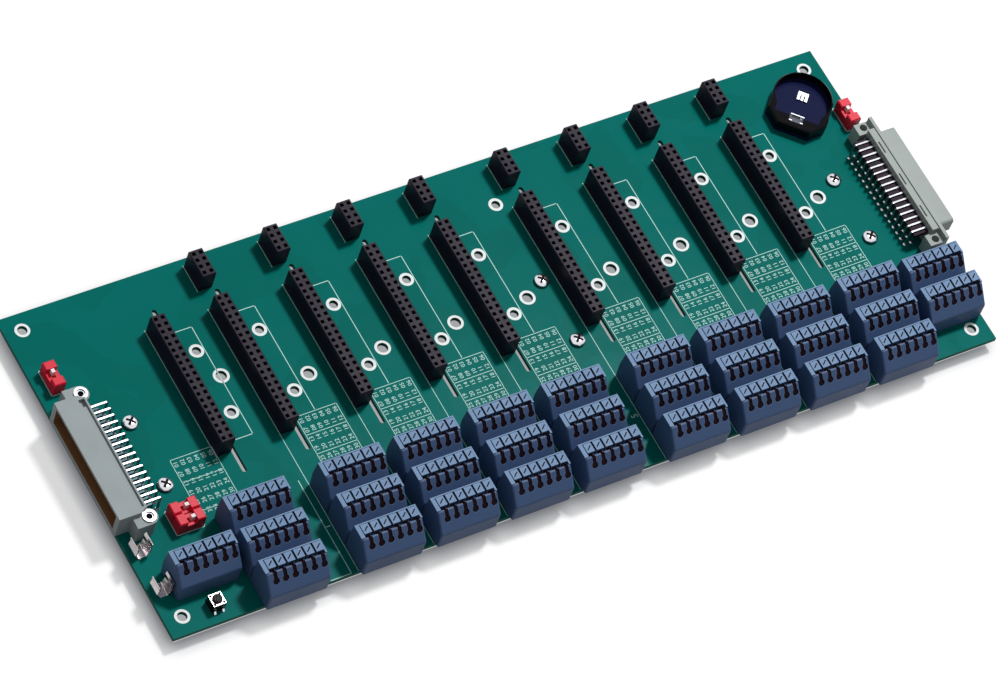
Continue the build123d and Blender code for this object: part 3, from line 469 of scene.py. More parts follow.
def metal(name, colour, dull_colour, roughness, stretch=(1.0, 8.0, 8.0), scale=260.0):
    material, tree, shader = new_material(name)
    group = place_group(tree, drawn, {
        "Colour": colour,
        "Dull Colour": dull_colour,
        "Stretch": stretch,
        "Scale": scale,
        "Roughness": roughness,
    })
    tree.links.new(group.outputs["Colour"], shader.inputs["Base Color"])
    tree.links.new(group.outputs["Roughness"], shader.inputs["Roughness"])
    shader.inputs["Metallic"].default_value = 1.0
    bump(tree, shader, group.outputs["Height"], 0.00001)
    return material


def dress(material, *names):
    for name in names:
        slots = nodes[name].data.materials
        if slots:
            for index in range(len(slots)):
                nodes[name].material_slots[index].material = material
        else:
            slots.append(material)


# %% [markdown]
# ## Solder mask
# The board is a glass-fibre laminate under a teal solder mask. The copper below shows
# through the mask as faint lines and fields, so a brick pattern and a slow noise shift
# the colour by a little. Small vias are dots from a cell pattern, kept only where a
# second noise is high. On the edges and in the holes the laminate is bare, which the
# surface normal tells: there it points sideways.

# %% Solder mask
MASK_COLOUR = linear(2, 104, 98)
MASK_DARK = linear(1, 94, 86)
MASK_LIGHT = linear(14, 116, 108)
LAMINATE = linear(22, 84, 74)
LAMINATE_LAYER = linear(48, 104, 88)
FIELD_LEVEL = 0.53
FIELD_DEPTH = 0.35
TRACK_DEPTH = 0.035
VIA_RADIUS = 0.09
VIA_DEPTH = 0.25
MASK_ROUGHNESS = 0.12
MASK_SPECULAR = 0.03
MASK_RELIEF = 0.000005

solder_mask, tree, shader = new_material("solder_mask")
place = object_coordinates(tree)
fields = noise_node(tree, place, 34.0, 2.0, 0.4)
fields = math_node(tree, "GREATER_THAN", fields, FIELD_LEVEL)
base = mix_colour(tree, math_node(tree, "MULTIPLY", fields, FIELD_DEPTH), MASK_COLOUR, MASK_DARK)
tracks = tree.nodes.new("ShaderNodeTexBrick")
tracks.offset = 0.37
tracks.inputs["Scale"].default_value = 120.0
tracks.inputs["Mortar Size"].default_value = 0.03
tracks.inputs["Mortar Smooth"].default_value = 0.4
tracks.inputs["Brick Width"].default_value = 2.1
tracks.inputs["Row Height"].default_value = 0.24
tree.links.new(place, tracks.inputs["Vector"])
track_field = math_node(tree, "GREATER_THAN", noise_node(tree, place, 21.0, 1.0), 0.5)
track_mask = math_node(tree, "MULTIPLY", tracks.outputs["Fac"], track_field)
base = mix_colour(tree, math_node(tree, "MULTIPLY", track_mask, TRACK_DEPTH), base, MASK_LIGHT)
vias = tree.nodes.new("ShaderNodeTexVoronoi")
vias.inputs["Scale"].default_value = 210.0
tree.links.new(place, vias.inputs["Vector"])
dots = math_node(tree, "LESS_THAN", vias.outputs["Distance"], VIA_RADIUS)
dots = math_node(tree, "MULTIPLY", dots, math_node(tree, "GREATER_THAN", noise_node(tree, place, 60.0), 0.6))
base = mix_colour(tree, math_node(tree, "MULTIPLY", dots, VIA_DEPTH), base, MASK_LIGHT)
normal = tree.nodes.new("ShaderNodeNewGeometry").outputs["Normal"]
split = tree.nodes.new("ShaderNodeSeparateXYZ")
tree.links.new(normal, split.inputs[0])
sideways = math_node(tree, "LESS_THAN", math_node(tree, "ABSOLUTE", split.outputs["Z"]), 0.5)
layers = tree.nodes.new("ShaderNodeTexWave")
layers.bands_direction = "Z"
layers.inputs["Scale"].default_value = 900.0
layers.inputs["Distortion"].default_value = 2.0
tree.links.new(place, layers.inputs["Vector"])
edge = mix_colour(tree, layers.outputs["Fac"], LAMINATE, LAMINATE_LAYER)
base = mix_colour(tree, sideways, base, edge)
tree.links.new(base, shader.inputs["Base Color"])
gloss = math_node(tree, "MULTIPLY", noise_node(tree, place, 140.0, 3.0), 0.08)
gloss = math_node(tree, "ADD", gloss, math_node(tree, "MULTIPLY", sideways, 0.35))
tree.links.new(math_node(tree, "ADD", gloss, MASK_ROUGHNESS), shader.inputs["Roughness"])
shader.inputs["Specular IOR Level"].default_value = MASK_SPECULAR
bump(tree, shader, noise_node(tree, place, 700.0, 2.0), MASK_RELIEF)
dress(solder_mask, "circuit_board")
print("material:", solder_mask.name)

# %% [markdown]
# ## Plastics
# The headers are black with a purple cast, the terminals blue-grey, the edge connectors a
# warm light grey. The small switches are glossy red, and their sliders white.

# %% Plastics
header_plastic = plastic("header_plastic", linear(26, 18, 36), linear(13, 8, 17), 0.4, specular=0.1)
terminal_plastic = plastic("terminal_plastic", linear(104, 135, 172), linear(80, 111, 149), 0.5, specular=0.2)
# Painted shade: below the button tops the terminal blocks are painted a darker blue-grey, so their fronts and
# slopes read darker than the lit tops.
tint(terminal_plastic, low_places, {"Height": mm(13.1), "Fade": mm(0.1)}, linear(63, 85, 122))
connector_plastic = plastic(
    "connector_plastic", linear(158, 168, 166), linear(140, 144, 136), 0.5, specular=0.15)
shroud_plastic = plastic("shroud_plastic", linear(152, 162, 166), linear(134, 140, 136), 0.5, specular=0.15)
# Painted shade and painted reflection: inside its cavity the left connector's shroud is painted brown, for
# the shade there and the brown cast of the gold pins.
SHROUD_SHADE_BOX = {
    "Centre": (mm(-155.6), mm(0.2), mm(5.25)),
    "Half Size": (mm(4.6), mm(21.22), mm(3.67)),
}
tint(shroud_plastic, inside_box, SHROUD_SHADE_BOX, linear(140, 100, 66))
comb_plastic = plastic("comb_plastic", linear(48, 36, 46), linear(30, 20, 26), 0.6, specular=0.1)
switch_plastic = plastic("switch_plastic", linear(222, 22, 56), linear(182, 4, 30), 0.35, specular=0.2)
slider_plastic = plastic("slider_plastic", linear(242, 232, 232), linear(214, 200, 202), 0.45)
black_plastic = plastic("black_plastic", linear(8, 7, 12), linear(4, 3, 6), 0.2, specular=0.08)
cell_plastic = plastic("cell_plastic", linear(6, 5, 10), linear(3, 2, 5), 0.12, specular=0.07)
# Painted reflection: the floor of the coin-cell holder, below 1.6 mm, is painted a lighter blue than its
# glossy black rim, for the sheen it shows.
tint(cell_plastic, low_places, {"Height": mm(1.6), "Fade": mm(0.3)}, linear(20, 26, 62))

# Pale edges on the plastics: partly wear, partly a painted highlight along the edges.
WEAR_AND_HIGHLIGHT = {"Patch Scale": 380.0, "Gain": 5.0}
tint(terminal_plastic, worn_and_highlit_edges, WEAR_AND_HIGHLIGHT, linear(168, 188, 214), 0.7)
tint(connector_plastic, worn_and_highlit_edges, WEAR_AND_HIGHLIGHT, linear(214, 214, 200), 0.7)
tint(shroud_plastic, worn_and_highlit_edges, WEAR_AND_HIGHLIGHT, linear(206, 208, 196), 0.7)
tint(header_plastic, worn_and_highlit_edges, WEAR_AND_HIGHLIGHT, linear(56, 46, 70), 0.6)
tint(switch_plastic, worn_and_highlit_edges, WEAR_AND_HIGHLIGHT, linear(250, 90, 110), 0.6)

header_names = ["host_header"] + [f"slot_{i}_header" for i in range(1, 9)]
small_header_names = [f"slot_{i}_small_header" for i in range(1, 9)]
terminal_names = ["power_terminal", "aux_terminals", "right_terminals"]
terminal_names += [f"slot_{i}_terminals" for i in range(1, 9)]
dress(header_plastic, *header_names, *small_header_names)
dress(terminal_plastic, *terminal_names)
dress(connector_plastic, "right_housing")
dress(shroud_plastic, "left_housing")
dress(switch_plastic, *[f"switch_{i}_body" for i in range(1, 5)])
dress(slider_plastic, *[f"switch_{i}_slider" for i in range(1, 5)])
dress(black_plastic, "key_base", "key_button")
dress(cell_plastic, "cell_holder")
dress(comb_plastic, "right_comb")
print("plastic nodes dressed")

# %% [markdown]
# ## Metals
# The contacts of the edge connectors are tinned and a little dull. The rail clips are
# zinc plated, and the screws and the coin-cell contacts are bright nickel.

# %% Metals
# Painted shade and painted reflection: below 6 mm the contacts' legs are painted dark green-grey and made
# less metallic, for the shade they stand in and the green board they mirror.
SHADED_LEGS = {"Height": mm(6.0), "Fade": mm(0.6)}
tinned = metal("tinned_contact", linear(220, 222, 226), linear(186, 188, 194), 0.14)
# Painted shade: faces of the contacts that don't face up are painted darker; this also stands for their
# duller cut edges.
tint(tinned, cut_and_shaded_sides, {"Limit": 0.9}, linear(60, 68, 74), 0.9)
tint(tinned, low_places, SHADED_LEGS, linear(30, 100, 96))
bright_tin = metal("bright_tin", linear(240, 240, 244), linear(214, 216, 222), 0.26)
tint(bright_tin, cut_and_shaded_sides, {"Limit": 0.3}, linear(70, 78, 84), 0.7)
tint(bright_tin, low_places, SHADED_LEGS, linear(60, 84, 96))
for legs, loss in ((tinned, 1.0), (bright_tin, 0.7)):
    tree = legs.node_tree
    leg_shade = place_group(tree, low_places, SHADED_LEGS).outputs["Mask"]
    shine = math_node(tree, "SUBTRACT", 1.0, math_node(tree, "MULTIPLY", leg_shade, loss))
    tree.links.new(shine, tree.nodes["Principled BSDF"].inputs["Metallic"])
nickel = metal("bright_nickel", linear(240, 240, 244), linear(204, 206, 212), 0.2)
# Painted shade: the nickel parts are painted darker on faces that don't face up, which also stands for duller
# cut edges.
tint(nickel, cut_and_shaded_sides, {"Limit": 0.5}, linear(92, 98, 106), 0.8)
zinc = metal("zinc_plate", linear(176, 180, 184), linear(120, 126, 132), 0.38)
# The fuse clips' streaks are set to a high contrast, partly rolled streaks and partly painted reflections;
# faces that point down are painted darker as shade.
spring_nickel = metal(
    "spring_nickel", linear(236, 230, 228), linear(110, 104, 116), 0.22, (1.0, 14.0, 1.0), 420.0)
tint(spring_nickel, cut_and_shaded_sides, {"Limit": 0.0}, linear(70, 72, 90), 0.6)
dress(tinned, "right_contacts")
dress(bright_tin, "left_contacts")
dress(nickel, "cell_side_contact", "cell_base_contact", "key_cover", "key_legs", "clip_screws", "left_rivets")
dress(spring_nickel, "fuse_clips")
dress(zinc, "rail_clip_1", "rail_clip_2", "rail_clip_3")
print("metal nodes dressed")

# %% [markdown]
# ## White rings round the holes
# Every fixing hole has a printed white ring. One ring is a disc that is inset and loses
# its middle, then gets the thickness of the print. The rings differ only in size, so each
# size is modelled once and copied to its holes.

# %% Rings
SMALL_RING = (2.55, 1.55)
BIG_RING = (2.8, 1.9)
CORNER_RING = (2.6, 1.7)
CARD_HOLE_DX = 9.65
CARD_HOLE_YS = (4.82, 29.82)
BIG_HOLE_DX = 17.1
BIG_HOLE_Y = 8.88
HOST_BIG_HOLE = (-99.07, 18.42)
SPARE_HOLE = (20.49, 45.62)
CORNERS = [(x * 152.4, y * 57.15) for x in (-1, 1) for y in (-1, 1)]


def ring(outer, inner, name):
    deselect()
    bpy.ops.mesh.primitive_circle_add(vertices=40, radius=mm(outer), fill_type="NGON")
    piece = named(name)
    bpy.ops.object.mode_set(mode="EDIT")
    bpy.ops.mesh.select_all(action="SELECT")
    bpy.ops.mesh.inset(thickness=mm(outer - inner))
    bpy.ops.mesh.delete(type="FACE")
    bpy.ops.object.mode_set(mode="OBJECT")
    solid = piece.modifiers.new("print", "SOLIDIFY")
    solid.thickness = mm(PRINT_THICKNESS)
    solid.offset = 1.0
    apply_modifiers(piece)
    return piece


def spread_copies(piece, places, z=0.0):
    twins = [copy_to(piece, (mm(x), mm(y), mm(z))) for x, y in places]
    drop(piece)
    return twins


card_holes = [(x + CARD_HOLE_DX, y) for x in HEADER_X for y in CARD_HOLE_YS]
big_holes = [(x + BIG_HOLE_DX, BIG_HOLE_Y) for x in SLOT_X] + [HOST_BIG_HOLE]
rings = spread_copies(ring(*SMALL_RING, "small_ring"), card_holes + [SPARE_HOLE])
rings += spread_copies(ring(*BIG_RING, "big_ring"), big_holes)
rings += spread_copies(ring(*CORNER_RING, "corner_ring"), CORNERS)
hole_rings = join(rings, "hole_rings")

# %% [markdown]
# ## Printed lines and tables
# Thin white lines outline each card, and a small table of pin names sits in front of each
# header. The names are left out here: each table holds plain two-digit numbers instead. A
# line is one flat bar, stretched and turned between two points.

# %% Lines
LINE_WIDTH = 0.28
THIN_LINE = 0.22
OUTLINE_NEAR = 2.7
OUTLINE_FAR = 12.4
OUTLINE_REAR = 38.74
OUTLINE_FRONT = -3.9
HOST_OUTLINE_FRONT = -5.0
DIVIDER_DX = 2.9
DIVIDER_FRONT = -63.2
DIVIDER_GAP = (42.8, 50.2)
DIVIDER_REAR = 60.9
HOST_DIVIDER_FRONT = -8.8


def unit_bar():
    deselect()
    bpy.ops.mesh.primitive_plane_add(size=1.0)
    piece = named("unit_bar")
    bpy.ops.object.mode_set(mode="EDIT")
    bpy.ops.mesh.select_all(action="SELECT")
    bpy.ops.mesh.extrude_region_move(TRANSFORM_OT_translate={"value": (0.0, 0.0, mm(PRINT_THICKNESS))})
    bpy.ops.mesh.select_all(action="SELECT")
    bpy.ops.mesh.normals_make_consistent(inside=False)
    bpy.ops.object.mode_set(mode="OBJECT")
    return piece


bar = unit_bar()
lines = []


def line(x0, y0, x1, y1, width=LINE_WIDTH):
    length = math.hypot(x1 - x0, y1 - y0) + width
    turn = math.atan2(y1 - y0, x1 - x0)
    middle = (mm((x0 + x1) / 2), mm((y0 + y1) / 2), 0.0)
    lines.append(copy_to(bar, middle, turn, (mm(length), mm(width), 1.0)))


def frame_lines(left, front, right_x, rear, width=LINE_WIDTH):
    line(left, front, right_x, front, width)
    line(left, rear, right_x, rear, width)
    line(left, front, left, rear, width)
    line(right_x, front, right_x, rear, width)


for x in SLOT_X:
    near, far, divider = x + OUTLINE_NEAR, x + OUTLINE_FAR, x - DIVIDER_DX
    line(near, OUTLINE_REAR, far, OUTLINE_REAR)
    line(far, OUTLINE_REAR, far, OUTLINE_FRONT)
    line(divider, DIVIDER_FRONT, divider, DIVIDER_GAP[0], THIN_LINE)
    line(divider, DIVIDER_GAP[1], divider, DIVIDER_REAR, THIN_LINE)
near, far, divider = HOST_X + OUTLINE_NEAR, HOST_X + OUTLINE_FAR, HOST_X - DIVIDER_DX
line(near, OUTLINE_REAR, far, OUTLINE_REAR)
line(far, OUTLINE_REAR, far, HOST_OUTLINE_FRONT)
line(far, HOST_OUTLINE_FRONT, near, HOST_OUTLINE_FRONT)
line(divider, HOST_DIVIDER_FRONT, divider, DIVIDER_GAP[0], THIN_LINE)
print("lines so far:", len(lines))

# %% [markdown]
# A number is made as text, because its strokes come from a font, and is turned into a
# mesh at once. It gets the thickness of the print and a quarter turn.

# %% Plain numbers
QUARTER_TURN = math.pi / 2


def number_print(text, x, y, size):
    deselect()
    place = (mm(x), mm(y), mm(PRINT_THICKNESS / 2))
    bpy.ops.object.text_add(location=place, rotation=(0.0, 0.0, QUARTER_TURN))
    words = bpy.context.active_object
    words.data.body = text
    words.data.size = mm(size)
    words.data.extrude = mm(PRINT_THICKNESS / 2)
    words.data.resolution_u = 2
    words.data.align_x = "CENTER"
    words.data.align_y = "CENTER"
    bpy.ops.object.convert(target="MESH")
    return bpy.context.active_object


# %% [markdown]
# Each card's table holds the numbers 01 to 36 in three bands, ruled off from each other.
# The table is made once and copied to every row, and the host's table stands further left.

# %% Tables of pin numbers
TABLE_LEFT = 5.0
TABLE_RIGHT = 20.2
TABLE_REAR = -4.5
TABLE_BAND = 7.5
TABLE_BANDS = 3
TABLE_COLUMNS = 6
PIN_NUMBER_SIZE = 2.2
column = (TABLE_RIGHT - TABLE_LEFT) / TABLE_COLUMNS
numbers = []
for row in range(2 * TABLE_BANDS):
    for index in range(TABLE_COLUMNS):
        text = str(row * TABLE_COLUMNS + index + 1).zfill(2)
        number_x = TABLE_LEFT + (index + 0.5) * column
        number_y = TABLE_REAR - (row + 0.5) * TABLE_BAND / 2
        numbers.append(number_print(text, number_x, number_y, PIN_NUMBER_SIZE))
one_table = join(numbers, "one_table")
tables = []
for x in SLOT_X:
    left, right_x = x + TABLE_LEFT, x + TABLE_RIGHT
    for band in range(TABLE_BANDS + 1):
        y = TABLE_REAR - band * TABLE_BAND
        line(left, y, right_x, y, THIN_LINE)
    line(left, TABLE_REAR, left, TABLE_REAR - TABLE_BANDS * TABLE_BAND, THIN_LINE)
    line(right_x, TABLE_REAR, right_x, TABLE_REAR - TABLE_BANDS * TABLE_BAND, THIN_LINE)
    tables.append(copy_to(one_table, (mm(x), 0.0, 0.0)))
HOST_TABLE_X = -134.8
tables.append(copy_to(one_table, (mm(HOST_TABLE_X), 0.0, 0.0)))
drop(one_table)
printed_marks = join(tables, "printed_marks")

# %% [markdown]
# The host's table has bands of its own. An angled line marks off the column of terminals
# in front of it, and the slide switches stand in printed boxes.

# %% Host table, terminal outline and switch outlines
HOST_TABLE = (-129.8, -114.6)
HOST_BANDS = (-4.4, -13.3, -24.8)
AUX_OUTLINE_X = (-94.0, -101.5)
AUX_OUTLINE_Y = (-26.3, -63.2)
SWITCH_OUTLINES = (
    (-152.2, 36.1, 2.4, 5.05),
    (-135.3, -25.6, 5.05, 4.7),
    (155.8, 34.1, 2.4, 5.05),
)
SWITCH_LINE = 0.3
for y in HOST_BANDS:
    line(HOST_TABLE[0], y, HOST_TABLE[1], y, THIN_LINE)
for x in HOST_TABLE:
    line(x, HOST_BANDS[0], x, HOST_BANDS[-1], THIN_LINE)
line(AUX_OUTLINE_X[0], AUX_OUTLINE_Y[0], AUX_OUTLINE_X[0], AUX_OUTLINE_Y[1])
line(AUX_OUTLINE_X[0], AUX_OUTLINE_Y[1], AUX_OUTLINE_X[1], AUX_OUTLINE_Y[1])
for x, y, half_x, half_y in SWITCH_OUTLINES:
    frame_lines(x - half_x, y - half_y, x + half_x, y + half_y, SWITCH_LINE)
printed_lines = join(lines, "printed_lines")
drop(bar)

# %% [markdown]
# A plain number from 1 to 8 stands beside each card's terminals.

# %% Slot numbers
NUMBER_SIZE = 3.4
NUMBER_DX = 4.6
NUMBER_Y = -45.0
card_numbers = []
for index, x in enumerate(SLOT_X):
    card_numbers.append(number_print(str(index + 1), x - NUMBER_DX, NUMBER_Y, NUMBER_SIZE))
slot_numbers = join(card_numbers, "slot_numbers")

# %% [markdown]
# The rings are printed solid and look white. The thin lines and numbers let some of the
# teal below show through at this size, so they are given a paler green-white.

# %% White and pale print
print_white = plastic("print_white", linear(236, 240, 240), linear(206, 216, 214), 0.55, drift_scale=300.0)
print_pale = plastic("print_pale", linear(190, 226, 220), linear(158, 206, 200), 0.6, drift_scale=300.0)
hole_rings.data.materials.append(print_white)
printed_lines.data.materials.append(print_pale)
printed_marks.data.materials.append(print_pale)
slot_numbers.data.materials.append(print_pale)
for piece in (hole_rings, printed_lines, printed_marks, slot_numbers):
    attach(piece, "board")

# %% [markdown]
# ## Solder joints
# Under the board every pin ends in a small cone of solder with the pin's tip standing out
# of it. The photograph doesn't show that side, so the joints follow usual ones. There are
# several hundred, so the one that is copied has few faces: an eight-sided cone that is
# pulled in at its end and extruded once more.

# %% Solder joints
JOINT_RADIUS = 0.85
JOINT_HEIGHT = 0.7
TIP_RADIUS = 0.32
TIP_HEIGHT = 0.8


def solder_joint():
    deselect()
    bpy.ops.mesh.primitive_cone_add(
        vertices=8, radius1=mm(JOINT_RADIUS), radius2=mm(TIP_RADIUS), depth=mm(JOINT_HEIGHT),
        location=(0.0, 0.0, mm(-BOARD_THICKNESS - JOINT_HEIGHT / 2)), rotation=(math.pi, 0.0, 0.0))
    piece = named("solder_joint")
    apply_place(piece)
    floor = mm(-BOARD_THICKNESS - JOINT_HEIGHT)
    select_faces(piece, lambda face: abs(face.center.z - floor) < 1e-6)
    bpy.ops.mesh.extrude_region_move(TRANSFORM_OT_translate={"value": (0.0, 0.0, mm(-TIP_HEIGHT))})
    bpy.ops.object.mode_set(mode="OBJECT")
    return piece


def pin_grid(x, y, columns, rows, pitch=PIN_PITCH):
    places = []
    for column in range(columns):
        for row in range(rows):
            dx = (column - (columns - 1) / 2) * pitch
            dy = (row - (rows - 1) / 2) * pitch
            places.append((x + dx, y + dy))
    return places


pin_places = []
for x in HEADER_X:
    pin_places += pin_grid(x, HEADER_Y, 2, 20)
for x in SLOT_X:
    pin_places += pin_grid(x, SMALL_HEADER_Y, 2, 4)
header_joints = join(spread_copies(solder_joint(), pin_places), "header_joints")

TERMINAL_DX = -2.65
TERMINAL_PITCH = 3.5
END_PLATE = 1.4
POLES = 6
TERMINAL_PIN_DY = 8.4
ROW_FRONTS = (-65.2, -52.7, -40.2)
AUX_BLOCK_LEFT = -126.2
POWER_BLOCK = (-151.5, -51.75)
RIGHT_BLOCKS = [(135.45, -53.9), (135.45, -41.4)]
blocks = [(x + TERMINAL_DX, front) for x in SLOT_X for front in ROW_FRONTS]
blocks += [(AUX_BLOCK_LEFT, front) for front in ROW_FRONTS]
blocks += [POWER_BLOCK] + RIGHT_BLOCKS
terminal_pins = []
for left, front in blocks:
    for pole in range(POLES):
        pin_x = left + END_PLATE + (pole + 0.5) * TERMINAL_PITCH
        terminal_pins.append((pin_x, front + TERMINAL_PIN_DY))
terminal_joints = join(spread_copies(solder_joint(), terminal_pins), "terminal_joints")

EDGE_PIN_X = (-144.34, -141.8, 148.5, 151.04)
EDGE_PIN_Y = 0.2
EDGE_PINS = 16
edge_pins = []
for x in EDGE_PIN_X:
    edge_pins += pin_grid(x, EDGE_PIN_Y, 1, EDGE_PINS)
edge_joints = join(spread_copies(solder_joint(), edge_pins), "edge_joints")

# %% [markdown]
# Solder also rises a little through the holes of the edge connectors, and shows above the
# board as rows of small bright dots. Each is a low cone with a short neck.

# %% Solder on the upper side of the edge connectors
FILLET_RADIUS = 0.8
FILLET_NECK = 0.42
FILLET_HEIGHT = 0.4
FILLET_TIP = 0.25
FILLET_TIP_SCALE = (0.9, 0.9, 1.0)
deselect()
bpy.ops.mesh.primitive_cone_add(
    vertices=10, radius1=mm(FILLET_RADIUS), radius2=mm(FILLET_NECK), depth=mm(FILLET_HEIGHT),
    location=(0.0, 0.0, mm(FILLET_HEIGHT / 2)))
fillet = named("upper_fillet")
apply_place(fillet)
select_faces(fillet, lambda face: face.center.z > mm(FILLET_HEIGHT) * 0.99)
bpy.ops.mesh.extrude_region_move(TRANSFORM_OT_translate={"value": (0.0, 0.0, mm(FILLET_TIP))})
bpy.ops.transform.resize(value=FILLET_TIP_SCALE)
bpy.ops.object.mode_set(mode="OBJECT")
upper_fillets = join(spread_copies(fillet, edge_pins), "upper_fillets")
solder = metal("solder", linear(206, 208, 212), linear(168, 170, 176), 0.24, (1.0, 1.0, 1.0), 900.0)
for piece in (header_joints, terminal_joints, edge_joints, upper_fillets):
    piece.data.materials.append(solder)
    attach(piece, "board")

# %% [markdown]
# ## The dark inside of the wire openings
# Behind each push-in opening there is an empty chamber with a spring, and from outside it
# only looks dark. The solid has a plain blind hole in its own colour, which is too pale.
# A thin dark cup with the outline of a keyhole lines the opening as painted shade. It starts
# as a disc whose upper edge is pulled out to the slot. The disc is pushed down to a cup, which
# gets a wall and is turned to the slope of the block.

# %% Cups
def push_down_to_cup(piece, depth, wall=0.02):
    make_active(piece)
    bpy.ops.object.mode_set(mode="EDIT")
    bpy.ops.mesh.select_all(action="SELECT")
    bpy.ops.mesh.extrude_region_move(TRANSFORM_OT_translate={"value": (0.0, 0.0, mm(-depth))})
    bpy.ops.object.mode_set(mode="OBJECT")
    solid = piece.modifiers.new("wall", "SOLIDIFY")
    solid.thickness = mm(wall)
    solid.offset = -1.0
    apply_modifiers(piece)


# %% [markdown]
# The keyhole comes from a disc with twelve corners. Its top corner is dissolved, the two
# next to it are moved to the slot's width, and their edge is extruded to its length.

# %% Wire opening liners
SLOPE_RISE = 5.8
SLOPE_RUN = 5.4
BLOCK_SLOPE = math.atan2(SLOPE_RISE, SLOPE_RUN)
BLOCK_FACE_HEIGHT = 7.2
OPENING_RISE = 5.1
LINER_RADIUS = 1.16
LINER_SLOT_HALF = 0.71
LINER_SLOT_LENGTH = 2.1
LINER_TOP = -0.3
LINER_DEPTH = 2.2
LINER_TOP_CORNER = 1.1
LINER_UPPER_CORNERS = 0.9
LINER_SHIFT = -0.1
deselect()
bpy.ops.mesh.primitive_circle_add(vertices=12, radius=mm(LINER_RADIUS), fill_type="NGON")
liner = named("wire_liner")
select_corners(liner, lambda co: co.y > mm(LINER_TOP_CORNER))
bpy.ops.mesh.dissolve_verts()
bpy.ops.object.mode_set(mode="OBJECT")
select_corners(liner, lambda co: co.y > mm(LINER_UPPER_CORNERS))
widen = LINER_SLOT_HALF / (LINER_RADIUS * math.cos(math.radians(60)))
bpy.ops.transform.resize(value=(widen, 1.0, 1.0))
bpy.ops.transform.translate(value=(0.0, mm(LINER_SHIFT), 0.0))
bpy.ops.mesh.extrude_region_move(TRANSFORM_OT_translate={"value": (0.0, mm(LINER_SLOT_LENGTH), 0.0)})
bpy.ops.object.mode_set(mode="OBJECT")
push_down_to_cup(liner, LINER_DEPTH)
liner.location = (0.0, 0.0, mm(LINER_TOP))
apply_place(liner)
liner.rotation_euler = (BLOCK_SLOPE, 0.0, 0.0)
apply_place(liner)
liner_y = OPENING_RISE * math.cos(BLOCK_SLOPE)
liner_z = BLOCK_FACE_HEIGHT + OPENING_RISE * math.sin(BLOCK_SLOPE)
pole_places = []
for left, front in blocks:
    for pole in range(POLES):
        pole_places.append((left + END_PLATE + (pole + 0.5) * TERMINAL_PITCH, front))
liner_places = [(x, y + liner_y) for x, y in pole_places]
wire_shade_liners = join(spread_copies(liner, liner_places, liner_z), "wire_shade_liners")

# %% [markdown]
# ## Marks and gaps of the push buttons
# Each push button has a slanted slot for a screwdriver, and the gaps between the buttons
# are narrow and deep. Both look nearly black, which is shade. A thin dark floor lies in each
# slot as painted shade. In each gap stands a dark rib as painted shade, a little lower than
# the buttons. The rib is a bar whose upper edges are bevelled.

# %% Button slots and gaps
BUTTON_TOP = 13.35
BUTTON_MIDDLE_Y = 8.95
SLOT_FLOOR_DEPTH = 0.36
SLOT_HALF = (1.12, 0.22)
SLOT_TURN = math.radians(40)
SLOT_FLOOR_THICKNESS = 0.1
deselect()
bpy.ops.mesh.primitive_circle_add(vertices=8, radius=mm(1.0), fill_type="NGON")
slot_shade = named("slot_shade")
slot_shade.scale = (*SLOT_HALF, 1.0)
slot_shade.rotation_euler = (0.0, 0.0, SLOT_TURN)
apply_place(slot_shade)
make_active(slot_shade)
bpy.ops.object.mode_set(mode="EDIT")
bpy.ops.mesh.select_all(action="SELECT")
bpy.ops.mesh.extrude_region_move(TRANSFORM_OT_translate={"value": (0.0, 0.0, mm(SLOT_FLOOR_THICKNESS))})
bpy.ops.mesh.select_all(action="SELECT")
bpy.ops.mesh.normals_make_consistent(inside=False)
bpy.ops.object.mode_set(mode="OBJECT")
button_places = [(x, y + BUTTON_MIDDLE_Y) for x, y in pole_places]
button_slot_shades = join(
    spread_copies(slot_shade, button_places, BUTTON_TOP - SLOT_FLOOR_DEPTH), "button_slot_shades")

GAP_RIB_SIZE = (0.74, 3.3, 1.2)
GAP_RIB_Z = 12.2
GAP_RIB_BEVEL = 0.12
deselect()
bpy.ops.mesh.primitive_cube_add(size=1.0, scale=[mm(v) for v in GAP_RIB_SIZE])
gap_rib = named("gap_shade_rib")
apply_place(gap_rib)
bevel = gap_rib.modifiers.new("edges", "BEVEL")
bevel.width = mm(GAP_RIB_BEVEL)
bevel.segments = 1
apply_modifiers(gap_rib)
gap_places = []
for left, front in blocks:
    for gap in range(1, POLES):
        gap_places.append((left + END_PLATE + gap * TERMINAL_PITCH, front + BUTTON_MIDDLE_Y))
gap_shade_ribs = join(spread_copies(gap_rib, gap_places, GAP_RIB_Z), "gap_shade_ribs")

# %% [markdown]
# ## Cross recesses
# The recess of a cross-head screw is deep and mirrors only itself, so it looks black. A dark
# cross-shaped cup lines each one as painted shade: a square whose four edges are extruded outwards.

# %% Cross recess liners
SCREW_X = (-135.47, 20.05, 137.93)
SCREW_YS = (-12.2, 12.8)
CROSS_HALF = 0.4
CROSS_ARM = 1.24
CROSS_TOP = 1.5
CROSS_DEPTH = 0.75
deselect()
bpy.ops.mesh.primitive_plane_add(size=mm(2 * CROSS_HALF))
cross = named("cross_liner")
for turn in range(4):
    way = Vector((round(math.cos(turn * math.pi / 2)), round(math.sin(turn * math.pi / 2)), 0.0))
    reach = mm(CROSS_HALF) * 0.9
    square = mm(CROSS_HALF) * 1.1
    select_corners(cross, lambda co: co.dot(way) > reach and max(abs(co.x), abs(co.y)) < square)
    bpy.ops.mesh.extrude_region_move(TRANSFORM_OT_translate={"value": tuple(way * mm(CROSS_ARM))})
    bpy.ops.object.mode_set(mode="OBJECT")
push_down_to_cup(cross, CROSS_DEPTH)
cross.rotation_euler = (0.0, 0.0, math.radians(45))
apply_place(cross)
screw_places = [(x, y) for x in SCREW_X for y in SCREW_YS]
screw_recess_shades = join(spread_copies(cross, screw_places, CROSS_TOP), "screw_recess_shades")

